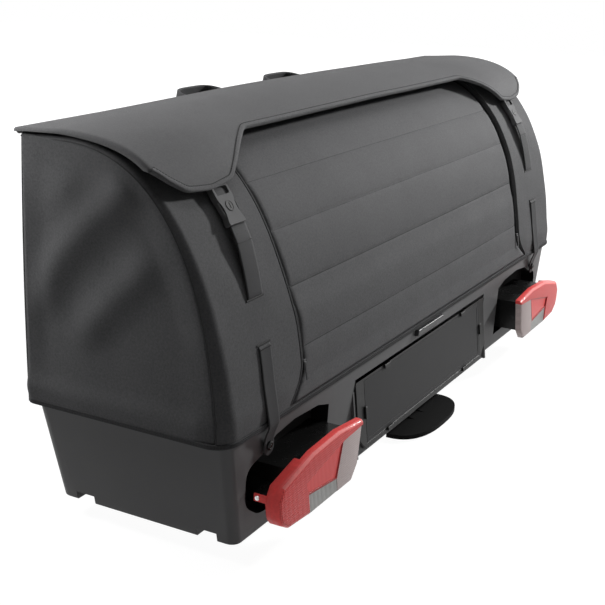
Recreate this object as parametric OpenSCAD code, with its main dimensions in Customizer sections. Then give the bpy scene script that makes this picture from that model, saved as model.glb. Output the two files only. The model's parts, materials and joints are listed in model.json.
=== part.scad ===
// Soft-sided cargo carrier for a tow ball.
// X runs across the car, the number plate faces -Y, the car is at +Y, the floor is Z = 0.
// Pieces are drawn about the tub's centre line and moved so that the origin is the footprint's middle.

/* [Cover] */
// Width of the cover over its end panels
cover_w = 1390; // [1200:10:1500]
// Height of the cover from its hem to its top
cover_h = 400; // [340:5:440]
// Hem of the rear wall behind the tub's centre line
cover_rear = 180; // [172:1:200]
// Hem of the front wall ahead of the tub's centre line
cover_front = 169; // [162:1:185]
// Line ahead of the centre where the rear curve runs into the flat top
crown_y = 84; // [60:1:100]
// How far the front wall leans back at its top
front_lean = 13; // [0:1:20]
// How far the rear wall leans forward low down
side_lean = 12; // [4:1:24]
// Height over the hem at which the rear wall starts to turn forward
side_rise = 196; // [160:2:230]
// Length of the rear shoulder behind the crown line
shoulder_run = 194; // [150:2:220]
// Thickness of the cover's laminate
skin_t = 4; // [3:0.5:6]
// How far the hem hangs over the tub's rim
hem_overlap = 8; // [6:1:14]

/* [Rear panel and zips] */
// Centre of each zip from the cover's end
zip_in = 225; // [195:5:275]
// Width of a zip's tape
zip_w = 13; // [10:0.5:18]
// Thickness of a zip's tape
zip_t = 3; // [2:0.5:4]
// How deep the zips lie under the side strips
zip_depth = 5; // [3:0.5:7]
// How deep the padded panel lies under the side strips
panel_inset = 12; // [10:0.5:16]
// Thickness of the padded panel at its seams
panel_t = 7; // [5:0.5:10]
// Swell of each padded channel over the seams
panel_crown = 6; // [3:0.5:8]
// Flat border of the padded panel beside each zip
panel_border = 9; // [6:1:16]
// First seam, as a share of the rear curve
seam_first = 0.14; // [0.1:0.01:0.18]
// Step from seam to seam, as a share of the rear curve
seam_step = 0.162; // [0.12:0.002:0.17]
// Number of sewn seams
seams = 4; // [2:1:4]
// Upper end of the panel, as a share of the rear curve
panel_top = 0.86; // [0.82:0.01:0.9]
// Length of a zip slider
slider_l = 16; // [12:1:20]
// Length of a slider's pull tab
slider_pull = 24; // [16:1:34]
// Thickness of a slider
slider_t = 4; // [3:0.5:6]
// Height of a zip slider over the hem
slider_up = 56; // [50:1:70]
// Stretch of zip that a slider is drawn along
slider_run = 60; // [40:2:70]
// Height over the rim at which panel and zips reach their depth
hem_blend = 28; // [20:1:34]

/* [Lid] */
// Thickness of the lid
lid_t = 7; // [5:0.5:10]
// Gap between the cover's top and the lid
lid_gap = 5; // [3:0.5:8]
// Length of the lid's curve behind the crown line
lid_run = 182; // [176:1:196]
// Depth of the lid's curve below its top
lid_drop = 116; // [100:2:130]
// Fullness of the lid's curve
lid_power = 2.5; // [2.2:0.1:2.8]
// Height of the lock under the lid tab's lower end
tab_up = 39; // [36:1:44]
// Corner of the cut-out at the lid's rear edge, from the cover's end
cutout_in = 301; // [275:1:365]
// Rear edge of the lid in the cut-out, behind the centre line
cutout_y = 27; // [10:1:40]
// Inner lower corner of a lid tab from the cover's end
tab_in = 175; // [160:1:205]
// Outer lower corner of a lid tab from the cover's end
tab_out = 65; // [45:1:75]
// Rear end of the lid's side edge, behind the centre line
lid_side_y = 66; // [50:1:70]
// Hinge line ahead of the front wall's top
hinge_out = 7; // [6.5:0.5:12]
// Radius of the hinge rod
hinge_r = 2.5; // [2:0.25:3]
// Outer radius of the hinge sleeve
sleeve_r = 5; // [4.5:0.25:6]
// Inner end of a front wall knuckle from the middle
knuckle_in = 220; // [200:5:260]
// Length of a front wall knuckle
knuckle_l = 110; // [80:5:140]

/* [Buckles and straps] */
// Centre of each buckle from the cover's end
buckle_in = 118; // [105:1:130]
// Height of a buckle's lock over the hem
buckle_up = 302; // [290:1:306]
// Width of a buckle
buckle_w = 40; // [36:1:44]
// Length of a buckle below its lock
buckle_low = 27; // [24:1:32]
// Length of a buckle above its lock
buckle_high = 33; // [30:1:35]
// Thickness of a buckle
buckle_t = 12; // [11:0.5:14]
// Gap between a buckle and the side strip
buckle_gap = 1; // [0.5:0.1:1.5]
// Radius of a lock barrel
lock_r = 7; // [5:0.5:8]
// Width of the tongue and of the upper webbing
tongue_w = 26; // [22:1:28]
// Thickness of the tongue
tongue_t = 3; // [2:0.5:3.5]
// Width of the upper strap
strap_w = 36; // [30:1:44]
// Thickness of all webbing
web_t = 2; // [1.5:0.5:3]
// Slit where the upper strap ends, as a height over the hem
slit_up = 180; // [150:2:200]
// Slit where the lower strap starts, as a height over the hem
slit_low = 114; // [90:2:130]
// Width of the lower strap
tail_w = 30; // [24:1:36]
// Rivet of the lower strap below the hem
rivet_down = 34; // [26:1:44]
// Radius of a rivet's head
rivet_r = 7; // [5:0.5:9]

/* [Tub] */
// Underside of the tub over the floor
tub_z = 34; // [30:1:44]
// Height of the tub
tub_h = 178; // [160:2:200]
// Wall of the tub
tub_wall = 4; // [3:0.5:6]
// Radius of the tub's upright corners
tub_corner_r = 16; // [12:1:40]
// How far each end wall draws in towards the floor
tub_end_taper = 35; // [20:1:45]
// How far the rear wall draws in towards the floor
tub_rear_taper = 9; // [4:1:14]
// How far the front wall draws in towards the floor
tub_front_taper = 6; // [4:1:14]
// Width of the rim at the tub's ends
rim_end = 10.7; // [8:0.1:14]
// Width of the rim along the tub's sides
rim_side = 2; // [1.5:0.5:4]
// Height of the rim
rim_h = 5; // [4:0.5:8]
// Height of the channels in the tub's underside
channel_h = 14; // [13:1:18]
// How far the floor pan's edge stands over its floor
pan_lip = 3; // [2:0.5:6]

/* [Lights] */
// Outer end of a light from the cover's end
lamp_side = 63; // [55:1:75]
// Width of a light
lamp_w = 260; // [252:1:272]
// Underside of a light over the floor
lamp_z = 56; // [52:1:62]
// Height of a light
lamp_h = 100; // [90:1:104]
// Face of a light behind the centre line
lamp_face = 228; // [220:1:236]
// Depth of the red lens bar
lens_d = 14; // [12:1:22]
// Depth of the lens at its outer end
lens_end_d = 21; // [18:1:30]
// Floor of a light's recess behind the centre line
recess_y = 140; // [132:1:146]
// Wall of a light's housing
lamp_wall = 3; // [2:0.5:4]

/* [Number plate] */
// Width of the number plate
plate_w = 520; // [500:1:530]
// Height of the number plate
plate_h = 110; // [100:1:120]
// Thickness of the number plate
plate_t = 2; // [1.5:0.5:3]
// Width of the number plate's raised border
plate_border = 7; // [5:0.5:10]
// Height of the number plate's border over its field
plate_raise = 0.5; // [0.3:0.1:0.8]
// Height of the plate's centre over the floor
plate_z = 108; // [104:1:112]
// Plate holder's back, behind the centre line at the plate's centre
plate_back = 169; // [166:1:176]
// Lean of the plate
plate_lean = 5.7; // [3:0.1:8]
// Width of the holder's border beside the plate
holder_side = 30; // [20:1:34]
// Width of the holder's border over and under the plate
holder_rim = 10; // [8:1:14]
// Thickness of the holder
holder_t = 6; // [5:0.5:8]
// Width of the badge block
badge_w = 116; // [90:2:130]
// Height of the badge block
badge_h = 14; // [10:1:16]

/* [Chassis] */
// Centre of the front cross tube ahead of the centre line
tube_front = 107; // [102:1:112]
// Centre of the rear cross tube behind the centre line
tube_rear = 116; // [112:1:120]
// Depth of a cross tube
tube_w = 30; // [26:1:34]
// Height of a cross tube
tube_h = 22; // [18:1:24]
// Wall of a cross tube
tube_wall = 2; // [1.5:0.5:3]
// Half length of a cross tube
tube_x = 570; // [520:5:590]
// Centre of each foot from the middle
foot_x = 465; // [420:5:500]
// Width of a foot at the floor
foot_w = 60; // [40:2:80]
// Depth of a foot at the floor
foot_d = 24; // [16:1:36]
// Inner distance of the beam's side plates from the middle
beam_x = 33; // [31:1:36]
// Thickness of the beam's side plates
beam_t = 6; // [4:0.5:8]
// Underside of the beam over the floor
beam_z = 4; // [3:0.5:6]

/* [Coupling] */
// Tilt pin ahead of the centre line
tilt_y = 62; // [55:1:70]
// Tilt pin over the floor
tilt_z = 14.5; // [13.5:0.5:16]
// Radius of the tilt pin
tilt_r = 6; // [5:0.5:7]
// Half width of the coupling's arm
arm_x = 30; // [24:0.5:30]
// Thickness of the coupling's arm
arm_t = 15; // [12:0.5:16]
// Rear face of the coupling ahead of the centre line
coupling_y = 176; // [174:1:180]
// Length of the coupling
coupling_l = 76; // [74:1:80]
// Half width of the coupling
coupling_x = 42; // [38:1:50]
// Height of the coupling
coupling_h = 112; // [104:1:120]
// Radius of the tow ball's seat
ball_r = 25.2; // [25:0.05:25.5]
// Wall of the ball's seat
seat_t = 2; // [1.5:0.25:3]
// Height of the ball's seat
seat_h = 28; // [22:1:30]
// Centre of the tow ball over the floor
ball_z = 64; // [58:1:70]
// Travel of the clamping jaw
jaw_travel = 6; // [3:0.5:7]
// Radius of the lever's pin
lever_r = 6; // [5:0.5:7]
// Length of the clamping lever
lever_l = 54; // [44:1:56]
// Width of the lever's grip
grip_w = 84; // [60:2:100]

/* [Pedal] */
// Pedal pin behind the centre line
pedal_y = 84; // [80:1:86]
// Pedal pin over the floor
pedal_z = 13; // [12.5:0.5:14]
// Radius of the pedal pin
pedal_r = 4; // [3:0.5:4.5]
// Half width of the pedal's tread
tread_x = 115; // [80:1:130]
// Rear end of the tread behind the centre line
tread_end = 216; // [206:1:226]
// Front edge of the tread behind the centre line
tread_start = 150; // [144:1:156]
// Thickness of the tread
tread_t = 8; // [6:0.5:10]
// Height of the tread over the floor
tread_z = 2; // [1.5:0.5:4]
// Length of the crank that pulls the release rod
crank_l = 15; // [13:0.5:16]
// Radius of the release rod
rod_r = 3; // [2:0.5:3.5]

/* [Handles and wiring] */
// Centre of each webbing handle from the middle
handle_x = 147; // [130:1:170]
// Width of a handle's bow
handle_w = 120; // [100:2:130]
// Reach of a handle ahead of the front wall
handle_reach = 94; // [70:1:100]
// Height of a handle's webbing
handle_h = 28; // [22:1:34]
// Thickness of a handle's webbing
handle_t = 5; // [3:0.5:7]
// Upward slope of a handle
handle_rise = 20; // [10:1:25]
// Seam of a handle below the cover's top
handle_down = 31; // [28:1:40]
// Wiring gland from the middle
gland_x = 130; // [100:5:200]
// Radius of the wiring gland
gland_r = 9; // [6:0.5:12]

/* [Hidden] */
$fn = 48;

// Clearances: flat faces at rest, running pins, cuts that pass through
fit = 0.3;
run = 0.05;
past = 1;

// Heights shared by the tub and the cover
hem_z = tub_z + tub_h - hem_overlap;
top_z = hem_z + cover_h;
half_w = cover_w / 2;
front_top = cover_front - front_lean;
zip_x = half_w - zip_in;
buckle_x = half_w - buckle_in;
lamp_out = half_w - lamp_side;
lamp_in = lamp_out - lamp_w;

// Rear curve of the cover, one cubic from the hem to the crown line, as [y, z]
curve = [
  [-cover_rear, hem_z],
  [side_lean - cover_rear, hem_z + side_rise],
  [crown_y - shoulder_run, top_z],
  [crown_y, top_z]
];
curve_steps = 24;
function mix(a, b, t) = a + (b - a) * t;
function curve_pt(t) = pow(1 - t, 3) * curve[0] + 3 * t * pow(1 - t, 2) * curve[1]
  + 3 * t * t * (1 - t) * curve[2] + pow(t, 3) * curve[3];
function curve_dir(t) = pow(1 - t, 2) * (curve[1] - curve[0]) + 2 * t * (1 - t) * (curve[2] - curve[1])
  + t * t * (curve[3] - curve[2]);
function curve_out(t) = let (v = curve_dir(t)) [-v[1], v[0]] / norm(v);
function curve_off(t, d) = curve_pt(t) + d * curve_out(t);
// Share of the curve at a height, by halving
function curve_at(z, lo = 0, hi = 1, left = 24) = let (m = (lo + hi) / 2)
  left == 0 ? m : curve_pt(m)[1] < z ? curve_at(z, m, hi, left - 1) : curve_at(z, lo, m, left - 1);
function steps(t0, t1, n) = [for (i = [0:n]) mix(t0, t1, i / n)];
function back(list) = [for (i = [len(list) - 1:-1:0]) list[i]];

// Front wall's outer line at a height, as y
function front_line(z) = cover_front - front_lean * pow(max(0, (z - hem_z) / cover_h), 2);
front_steps = 8;
front_zs = steps(hem_z, top_z - skin_t, front_steps);

// Tub outline at a height
rim_x = half_w - skin_t - fit;
rim_rear = curve_off(curve_at(tub_z + tub_h), -skin_t - fit)[0];
rim_front = cover_front - skin_t - fit;
tub_top_x = rim_x - rim_end;
tub_top_rear = rim_rear + rim_side;
tub_top_front = rim_front - rim_side;
tub_top = tub_z + tub_h;
function tub_x(z) = tub_top_x - tub_end_taper * (tub_top - z) / tub_h;
function tub_rear(z) = tub_top_rear + tub_rear_taper * (tub_top - z) / tub_h;
function tub_front(z) = tub_top_front - tub_front_taper * (tub_top - z) / tub_h;

// Channels, tubes and beam under the tub
channel_top = tub_z + channel_h;
pan_top = channel_top + tub_wall + pan_lip;
tube_top = channel_top - past;
tube_z = tube_top - tube_h;
channel_gap = 2;
channel_w = tube_w + 2 * channel_gap;
beam_out = beam_x + beam_t;
channel_x = beam_out + 4 * channel_gap;
bolt_xs = [-500, -200, 200, 500];
bolt_r = 4;
bolt_head_r = 8;
bolt_head_h = 3.5;
tube_ys = [tube_front, -tube_rear];
gland_z = channel_top + 30;

// Recess outline of a light, as [x, z]
recess_in = lamp_in + 11;
recess_out = lamp_out - 6;
recess_z = lamp_z + 4;
recess_top = lamp_z + lamp_h + 24;
recess_side_top = lamp_z + lamp_h - 10;
recess_line = [
  [recess_in, recess_z],
  [recess_out - 40, recess_z],
  [recess_out, recess_z + 30],
  [recess_out, recess_side_top],
  [recess_out - 40, recess_side_top + 10],
  [recess_out - 80, recess_top - 6],
  [mix(recess_in, recess_out, 0.45), recess_top],
  [recess_in + 37, recess_top - 4],
  [recess_in, recess_top - 15]
];

// Corners of a light's face, as [x, z]
lamp_top = lamp_z + lamp_h;
// A point at a share of the light's width from its inner end, and of its height from its underside
function lamp_pt(across, up) = [lamp_in + across * lamp_w, lamp_z + up * lamp_h];
top_in = lamp_pt(0, 0.92);
top_a = lamp_pt(0.3, 1);
top_b = lamp_pt(0.61, 0.96);
top_out = lamp_pt(0.946, 0.76);
out_a = lamp_pt(1, 0.54);
out_b = lamp_pt(0.985, 0.24);
out_c = lamp_pt(0.923, 0.1);
out_d = lamp_pt(0.82, 0);
low_out = lamp_pt(0.65, 0);
low_in = lamp_pt(0.13, 0);
side_in = lamp_pt(0.054, 0.22);
red_in = lamp_pt(0.008, 0.84);
refl_a = lamp_pt(0.25, 0.8);
refl_b = lamp_pt(0.7, 0.56);
refl_c = lamp_pt(0.67, 0.34);
refl_d = lamp_pt(0.323, 0.24);
red_outer = [top_in, top_a, top_b, top_out, out_a, out_b, out_c, out_d, low_out];
red_line = concat(red_outer, [refl_c, refl_b, refl_a, red_in]);
clear_line = [red_in, refl_a, refl_d, refl_c, low_out, low_in, side_in];
reflector_line = [refl_a, refl_b, refl_c, refl_d];
housing_in = 20;
housing_out = lamp_out - 54;
housing_line = [
  [lamp_in + housing_in, lamp_top - 18],
  [housing_out - 8, lamp_top - 20],
  [housing_out, lamp_top - 40],
  [housing_out, lamp_z + 16],
  [lamp_in + housing_in + 10, lamp_z + 16]
];
housing_mid = [(lamp_in + lamp_out) / 2 - 17, lamp_z + 48];
lens_back = lens_d - lamp_face;
lens_end_x = lamp_out - 52;
// Screw tab behind a lens's outer end, on an ear of the housing
tab_x = lamp_out - 13;
tab_t = 3;
tab_h = 12;
tab_low = lamp_z + 46;
tab_back = lens_end_d - lamp_face + 27;
screw_y = tab_back - 6;
screw_r = 2;
ear_l = 20;
board_t = 1.6;
led_r = 3;
leds = 6;

// Buckle frame: on the side strip at the lock's height, turned to the strip's slope
buckle_t_at = curve_at(hem_z + buckle_up);
buckle_at = curve_pt(buckle_t_at);
buckle_dir = curve_dir(buckle_t_at);
buckle_turn = -atan2(buckle_dir[0], buckle_dir[1]);
buckle_face = -buckle_gap - buckle_t;
buckle_wall = 3;
pocket_x = tongue_w / 2 + 1;
pocket_face = buckle_face + buckle_wall;
pocket_top = 12;
tongue_out = pocket_face + 1;
tongue_low = -buckle_low - 14;
window_low = buckle_high - 13;
window_high = buckle_high - 4;
bar_back = buckle_face + 6;
// A point of the buckle's own frame, as [y, z]
function from_buckle(y, z) = buckle_at + [
  y * cos(buckle_turn) - z * sin(buckle_turn),
  y * sin(buckle_turn) + z * cos(buckle_turn)
];

// Lid curve, as [y, z], with d measured inwards
lid_top = top_z + lid_gap + lid_t;
lid_low = lid_top - lid_drop;
lid_steps = 24;
function lid_pt(a, d) = [
  crown_y - (lid_run - d) * pow(max(0, cos(a)), 2 / lid_power),
  lid_low + (lid_drop - d) * pow(sin(a), 2 / lid_power)
];
lid_as = steps(0, 90, lid_steps);
hinge_y = front_top + hinge_out;
hinge_z = top_z + 2;
tab_z = hem_z + buckle_up + tab_up;
tab_a = asin(pow((tab_z - lid_low) / lid_drop, lid_power / 2));
knuckles = [-knuckle_in - knuckle_l, knuckle_in];
knuckle_gap = 0.5;

// Coupling places
ball_y = coupling_y + coupling_l / 2;
coupling_z = tilt_z - arm_t / 2;
coupling_top = coupling_z + coupling_h;
seat_z = ball_z - seat_h / 2;
seat_top = 4;
lever_y = coupling_y + 14;
lever_z = coupling_top + 14;
lever_hub = lever_r + 4;
ear_x = 20;
ear_t = 8;
jaw_x = 19.5;
jaw_front = ball_y + ball_r + 1.5;

// Origin at the middle of the footprint: from the lights' face to the handles' front
handle_z = top_z - handle_down;
handle_y = front_line(handle_z);
handle_front = handle_y + handle_reach * cos(handle_rise) + handle_h / 2 * sin(handle_rise);
shift_y = (lamp_face - handle_front) / 2;

// Helpers

module placed() {
  translate([0, shift_y, 0]) children();
}

// Outline in [y, z], drawn along X
module along_x(x0, x1) {
  translate([x0, 0, 0]) rotate([90, 0, 90]) linear_extrude(x1 - x0) children();
}

// Outline in [x, z], drawn along Y
module along_y(y0, y1) {
  translate([0, y1, 0]) rotate([90, 0, 0]) linear_extrude(y1 - y0) children();
}

module on_side(side) {
  if (side > 0) children();
  else mirror([1, 0, 0]) children();
}

module both_sides() {
  children();
  mirror([1, 0, 0]) children();
}

module pin_x(y, z, r, x0, x1) {
  translate([x0, y, z]) rotate([0, 90, 0]) cylinder(r = r, h = x1 - x0);
}

module box(x0, x1, y0, y1, z0, z1) {
  translate([x0, y0, z0]) cube([x1 - x0, y1 - y0, z1 - z0]);
}

module in_buckle(side) {
  on_side(side) translate([buckle_x, buckle_at[0], buckle_at[1]]) rotate([buckle_turn, 0, 0]) children();
}

// Plate frame: origin at the plate's centre on the holder's back, -Y outwards
module on_plate() {
  translate([0, -plate_back, plate_z]) rotate([-plate_lean, 0, 0]) children();
}

// Tub

module tub_block(z0, z1, inset) {
  slice = 0.01;
  r = tub_corner_r - inset;
  hull() {
    for (z = [z0, z1], sx = [-1, 1], sy = [-1, 1])
      translate([
        sx * (tub_x(z) - inset - r),
        sy > 0 ? tub_front(z) - inset - r : tub_rear(z) + inset + r,
        z == z1 ? z - slice : z
      ]) cylinder(r = r, h = slice, $fn = 32);
  }
}

module rim() {
  r = 3 * tub_corner_r;
  z = tub_top - rim_h;
  box(-rim_x + r, rim_x - r, rim_rear, rim_front, z, tub_top);
  box(-rim_x, rim_x, rim_rear + r, rim_front - r, z, tub_top);
  for (x = [-rim_x + r, rim_x - r], y = [rim_rear + r, rim_front - r])
    translate([x, y, z]) cylinder(r = r, h = rim_h);
}

// Everything that the tub's floor and walls step around, grown by a wall
module tub_hollows(grow) {
  for (y = tube_ys)
    box(-half_w, half_w, y - channel_w / 2 - grow, y + channel_w / 2 + grow, 0, channel_top + grow);
  box(-channel_x - grow, channel_x + grow, -cover_rear, cover_front, 0, channel_top + grow);
}

module tub_recess(grow) {
  mid = [(recess_in + recess_out) / 2, (recess_z + recess_top) / 2];
  half = (recess_top - recess_z) / 2;
  along_y(-cover_rear - 30, -recess_y + grow)
    translate(mid) scale((half + grow) / half) translate(-mid) polygon(recess_line);
}

module plate_recess(grow) {
  on_plate() box(-plate_w / 2 - holder_side - 2 - grow, plate_w / 2 + holder_side + 2 + grow, -60, grow,
    -plate_h / 2 - holder_rim - 40, plate_h / 2 + holder_rim + 2 + grow);
}

module plate_bulge() {
  intersection() {
    on_plate() box(-plate_w / 2 - holder_side - 8, plate_w / 2 + holder_side + 8, -holder_t, 30,
      -plate_h / 2 - holder_rim - 8, plate_h / 2 + holder_rim);
    box(-half_w, half_w, -cover_rear - 30, -cover_rear + 40, tub_z + 2, tub_top);
  }
}

module tub_shell() {
  difference() {
    union() {
      difference() {
        union() {
          tub_block(tub_z, tub_top, 0);
          rim();
        }
        difference() {
          tub_block(tub_z + tub_wall, tub_top + past, tub_wall);
          tub_hollows(tub_wall);
          both_sides() tub_recess(tub_wall);
          plate_recess(tub_wall);
        }
      }
      plate_bulge();
    }
    tub_hollows(0);
    both_sides() tub_recess(0);
    plate_recess(0);
    for (x = bolt_xs, y = tube_ys)
      translate([x, y, channel_top - past]) cylinder(r = bolt_r + fit, h = tub_wall + 2 * past);
    translate([gland_x, 0, gland_z]) rotate([-90, 0, 0]) cylinder(r = gland_r + run, h = cover_front);
    both_sides() translate([buckle_x, -cover_rear - past, rivet_z]) rotate([-90, 0, 0])
      cylinder(r = rivet_r / 2 + run, h = 2 * tub_wall + tub_rear_taper + 10);
  }
}

// Walls of the tub, from the pan's edge to the rim
module tub() {
  color("dimgray") difference() {
    tub_shell();
    box(-half_w, half_w, -2 * cover_rear, 2 * cover_front, 0, pan_top);
  }
}

// Pan that closes the tub below, with the channels for the tubes and the beam
module tub_floor() {
  color("dimgray") intersection() {
    tub_shell();
    box(-half_w, half_w, -2 * cover_rear, 2 * cover_front, 0, pan_top);
  }
}

module tub_bolts() {
  seat = channel_top + tub_wall;
  tip = tube_top - tube_wall - 6;
  color("silver") for (x = bolt_xs, y = tube_ys) {
    translate([x, y, seat]) cylinder(r = bolt_head_r, h = bolt_head_h);
    translate([x, y, tip]) cylinder(r = bolt_r, h = seat - tip);
  }
}

module chassis_feet() {
  color("#202020") for (sx = [-1, 1], y = tube_ys) {
    translate([sx * foot_x, y, 0]) {
      intersection() {
        along_x(-foot_w, foot_w) polygon([
          [-foot_d / 2, 0], [foot_d / 2, 0], [foot_d, tub_z - past], [-foot_d, tub_z - past]
        ]);
        along_y(-foot_w, foot_w) polygon([
          [-foot_w / 2, 0], [foot_w / 2, 0], [0.7 * foot_w, tub_z - past], [-0.7 * foot_w, tub_z - past]
        ]);
        box(-foot_w, foot_w, -foot_w, foot_w, 0, tube_z);
      }
    }
  }
}

module cross_tube(y) {
  difference() {
    box(-tube_x, tube_x, y - tube_w / 2, y + tube_w / 2, tube_z, tube_top);
    box(-tube_x - past, tube_x + past, y - tube_w / 2 + tube_wall, y + tube_w / 2 - tube_wall,
      tube_z + tube_wall, tube_top - tube_wall);
    for (x = bolt_xs)
      translate([x, y, tube_top - tube_wall - past]) cylinder(r = bolt_r + fit, h = tube_wall + 2 * past);
  }
}

module cross_tube_front() {
  color("silver") cross_tube(tube_front);
}

module cross_tube_rear() {
  color("silver") cross_tube(-tube_rear);
}

module tube_caps() {
  cap_t = 5;
  plug_l = 18;
  inset = tube_wall + fit;
  color("#1c1c1c") for (y = tube_ys) both_sides() {
    box(tube_x, tube_x + cap_t, y - tube_w / 2, y + tube_w / 2, tube_z, tube_top);
    box(tube_x - plug_l, tube_x, y - tube_w / 2 + inset, y + tube_w / 2 - inset,
      tube_z + inset, tube_top - inset);
  }
}

// Beam with the tilt pin and the pedal

module centre_beam() {
  front_end = tube_front + tube_w / 2;
  rear_end = -tube_rear + tube_w / 2 - 12;
  front_step = tube_front - tube_w / 2 - fit;
  rear_step = -tube_rear + tube_w / 2 + fit;
  web_y = -24;
  web_t6 = 6;
  color("dimgray") difference() {
    union() {
      both_sides() along_x(beam_x, beam_out) polygon([
        [rear_end, beam_z], [front_end, beam_z], [front_end, tube_z], [front_step, tube_z],
        [front_step, tube_top - 2], [rear_step, tube_top - 2], [rear_step, tube_z], [rear_end, tube_z]
      ]);
      box(-beam_x, beam_x, web_y, web_y + web_t6, beam_z + 8, tube_top - 2);
    }
    pin_x(tilt_y, tilt_z, tilt_r + run, -beam_out - past, beam_out + past);
    pin_x(-pedal_y, pedal_z, pedal_r + run, -beam_out - past, beam_out + past);
    translate([0, web_y - past, pedal_z + crank_l]) rotate([-90, 0, 0])
      cylinder(r = rod_r + run, h = web_t6 + 2 * past);
  }
}

module headed_pin(y, z, r) {
  head_t = 3;
  pin_x(y, z, r, -beam_out, beam_out);
  both_sides() pin_x(y, z, r + 3, beam_out, beam_out + head_t);
}

module tilt_pin() {
  color("lightgray") headed_pin(tilt_y, tilt_z, tilt_r);
}

module pedal_pin() {
  color("lightgray") headed_pin(-pedal_y, pedal_z, pedal_r);
}

// Round-nosed tread with two arms to the pin and a crank for the release rod
module pedal() {
  tread_n = 2.6;
  tread_steps = 24;
  hub_r = pedal_r + 4;
  hub_in = 14;
  hub_out = beam_x - 5;
  cheek_in = 5;
  cheek_t = 4;
  tread_line = [for (i = [0:tread_steps]) let (a = 180 * i / tread_steps) [
    tread_x * sign(cos(a)) * pow(abs(cos(a)), 2 / tread_n),
    -tread_start - (tread_end - tread_start) * pow(sin(a), 2 / tread_n)
  ]];
  color("#151515") difference() {
    union() {
      translate([0, 0, tread_z]) linear_extrude(tread_t) polygon(tread_line);
      both_sides() {
        along_x(hub_in, hub_out) polygon([
          [-tread_start - 20, tread_z], [-pedal_y, pedal_z - hub_r], [-pedal_y, pedal_z + hub_r],
          [-pedal_y - 14, pedal_z + hub_r - 2], [-tread_start - 20, tread_z + tread_t]
        ]);
        pin_x(-pedal_y, pedal_z, hub_r, hub_in, hub_out);
        along_x(cheek_in, cheek_in + cheek_t) polygon([
          [-pedal_y - 6, pedal_z - 4], [-pedal_y + 6, pedal_z - 4],
          [-pedal_y + 4, pedal_z + crank_l + 4], [-pedal_y - 4, pedal_z + crank_l + 4]
        ]);
        pin_x(-pedal_y, pedal_z, hub_r, cheek_in, hub_in);
      }
      pin_x(-pedal_y, pedal_z + crank_l, rod_r, -cheek_in - past, cheek_in + past);
    }
    pin_x(-pedal_y, pedal_z, pedal_r + run, -beam_x, beam_x);
    box(-cheek_in, cheek_in, -pedal_y - hub_r - 6, -pedal_y + hub_r + 6, 0, pedal_z + crank_l - rod_r - 2);
  }
}

module pedal_spring() {
  spring_in = pedal_r + 0.3;
  color("gray") difference() {
    pin_x(-pedal_y, pedal_z, pedal_r + 2.3, -4, 4);
    pin_x(-pedal_y, pedal_z, spring_in, -4 - past, 4 + past);
  }
}

module release_rod() {
  eye_x = 4.3;
  eye_y = 8;
  slot = rod_r + 0.35;
  rod_z = pedal_z + crank_l;
  rod_end = tilt_y - 14;
  color("silver") {
    translate([0, -pedal_y + eye_y, rod_z]) rotate([-90, 0, 0])
      cylinder(r = rod_r, h = rod_end + pedal_y - eye_y);
    difference() {
      box(-eye_x, eye_x, -pedal_y - eye_y, -pedal_y + eye_y, rod_z - 4, rod_z + rod_r + 3);
      box(-eye_x - past, eye_x + past, -pedal_y - slot, -pedal_y + slot, rod_z - 5, rod_z + slot);
    }
  }
}

// Coupling on the tow ball

module coupling_arm() {
  hub_r = tilt_r + 3.5;
  horn_y = tilt_y - 13.6;
  color("#3a3a3a") difference() {
    union() {
      box(-arm_x, arm_x, tilt_y, coupling_y, coupling_z, coupling_z + arm_t);
      pin_x(tilt_y, tilt_z, hub_r, -arm_x, arm_x);
      box(-8, 8, horn_y, horn_y + 10, tilt_z, pedal_z + crank_l + 7);
      box(-8, 8, horn_y, tilt_y, tilt_z, tilt_z + 6);
    }
    pin_x(tilt_y, tilt_z, tilt_r + run, -arm_x - past, arm_x + past);
  }
}

module coupling_housing() {
  nose = 26;
  chin = 12;
  front = coupling_y + coupling_l;
  color("#2c2c2c") difference() {
    union() {
      along_x(-coupling_x, coupling_x) polygon([
        [coupling_y, coupling_z], [front - chin, coupling_z], [front, coupling_z + chin],
        [front, coupling_top - nose], [lever_y + lever_hub + 6, coupling_top], [coupling_y, coupling_top]
      ]);
      both_sides() {
        box(ear_x, ear_x + ear_t, lever_y - lever_hub, lever_y + lever_hub, coupling_top, lever_z);
        pin_x(lever_y, lever_z, lever_hub, ear_x, ear_x + ear_t);
      }
    }
    translate([0, ball_y, coupling_z - past])
      cylinder(r = ball_r + seat_t + run, h = seat_z + seat_h + seat_top - coupling_z + past + run);
    box(-jaw_x - fit, jaw_x + fit, ball_y, jaw_front + jaw_travel + 0.5, seat_z - fit, seat_z + seat_h + fit);
    pin_x(lever_y, lever_z, lever_r + run, -coupling_x, coupling_x);
  }
}

module ball_seat() {
  color("lightgray") difference() {
    translate([0, ball_y, seat_z]) cylinder(r = ball_r + seat_t, h = seat_h + seat_top);
    translate([0, ball_y, seat_z - past]) cylinder(r = ball_r, h = seat_h + past);
    box(-coupling_x, coupling_x, ball_y - 2, ball_y + coupling_l, seat_z - past, seat_z + seat_h + fit);
  }
}

module clamp_jaw() {
  color("lightgray") difference() {
    box(-jaw_x, jaw_x, ball_y + 2, jaw_front, seat_z, seat_z + seat_h);
    translate([0, ball_y, seat_z - past]) cylinder(r = ball_r, h = seat_h + 2 * past);
  }
}

module clamp_lever() {
  arm_half = 15;
  arm_low = 5;
  color("#303030") difference() {
    union() {
      pin_x(lever_y, lever_z, lever_hub, -ear_x + fit, ear_x - fit);
      box(-arm_half, arm_half, lever_y, lever_y + lever_l, lever_z - arm_low, lever_z + arm_low);
    }
    pin_x(lever_y, lever_z, lever_r + run, -coupling_x, coupling_x);
  }
}

module lever_pin() {
  color("silver") pin_x(lever_y, lever_z, lever_r, -ear_x - ear_t, ear_x + ear_t);
}

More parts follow.
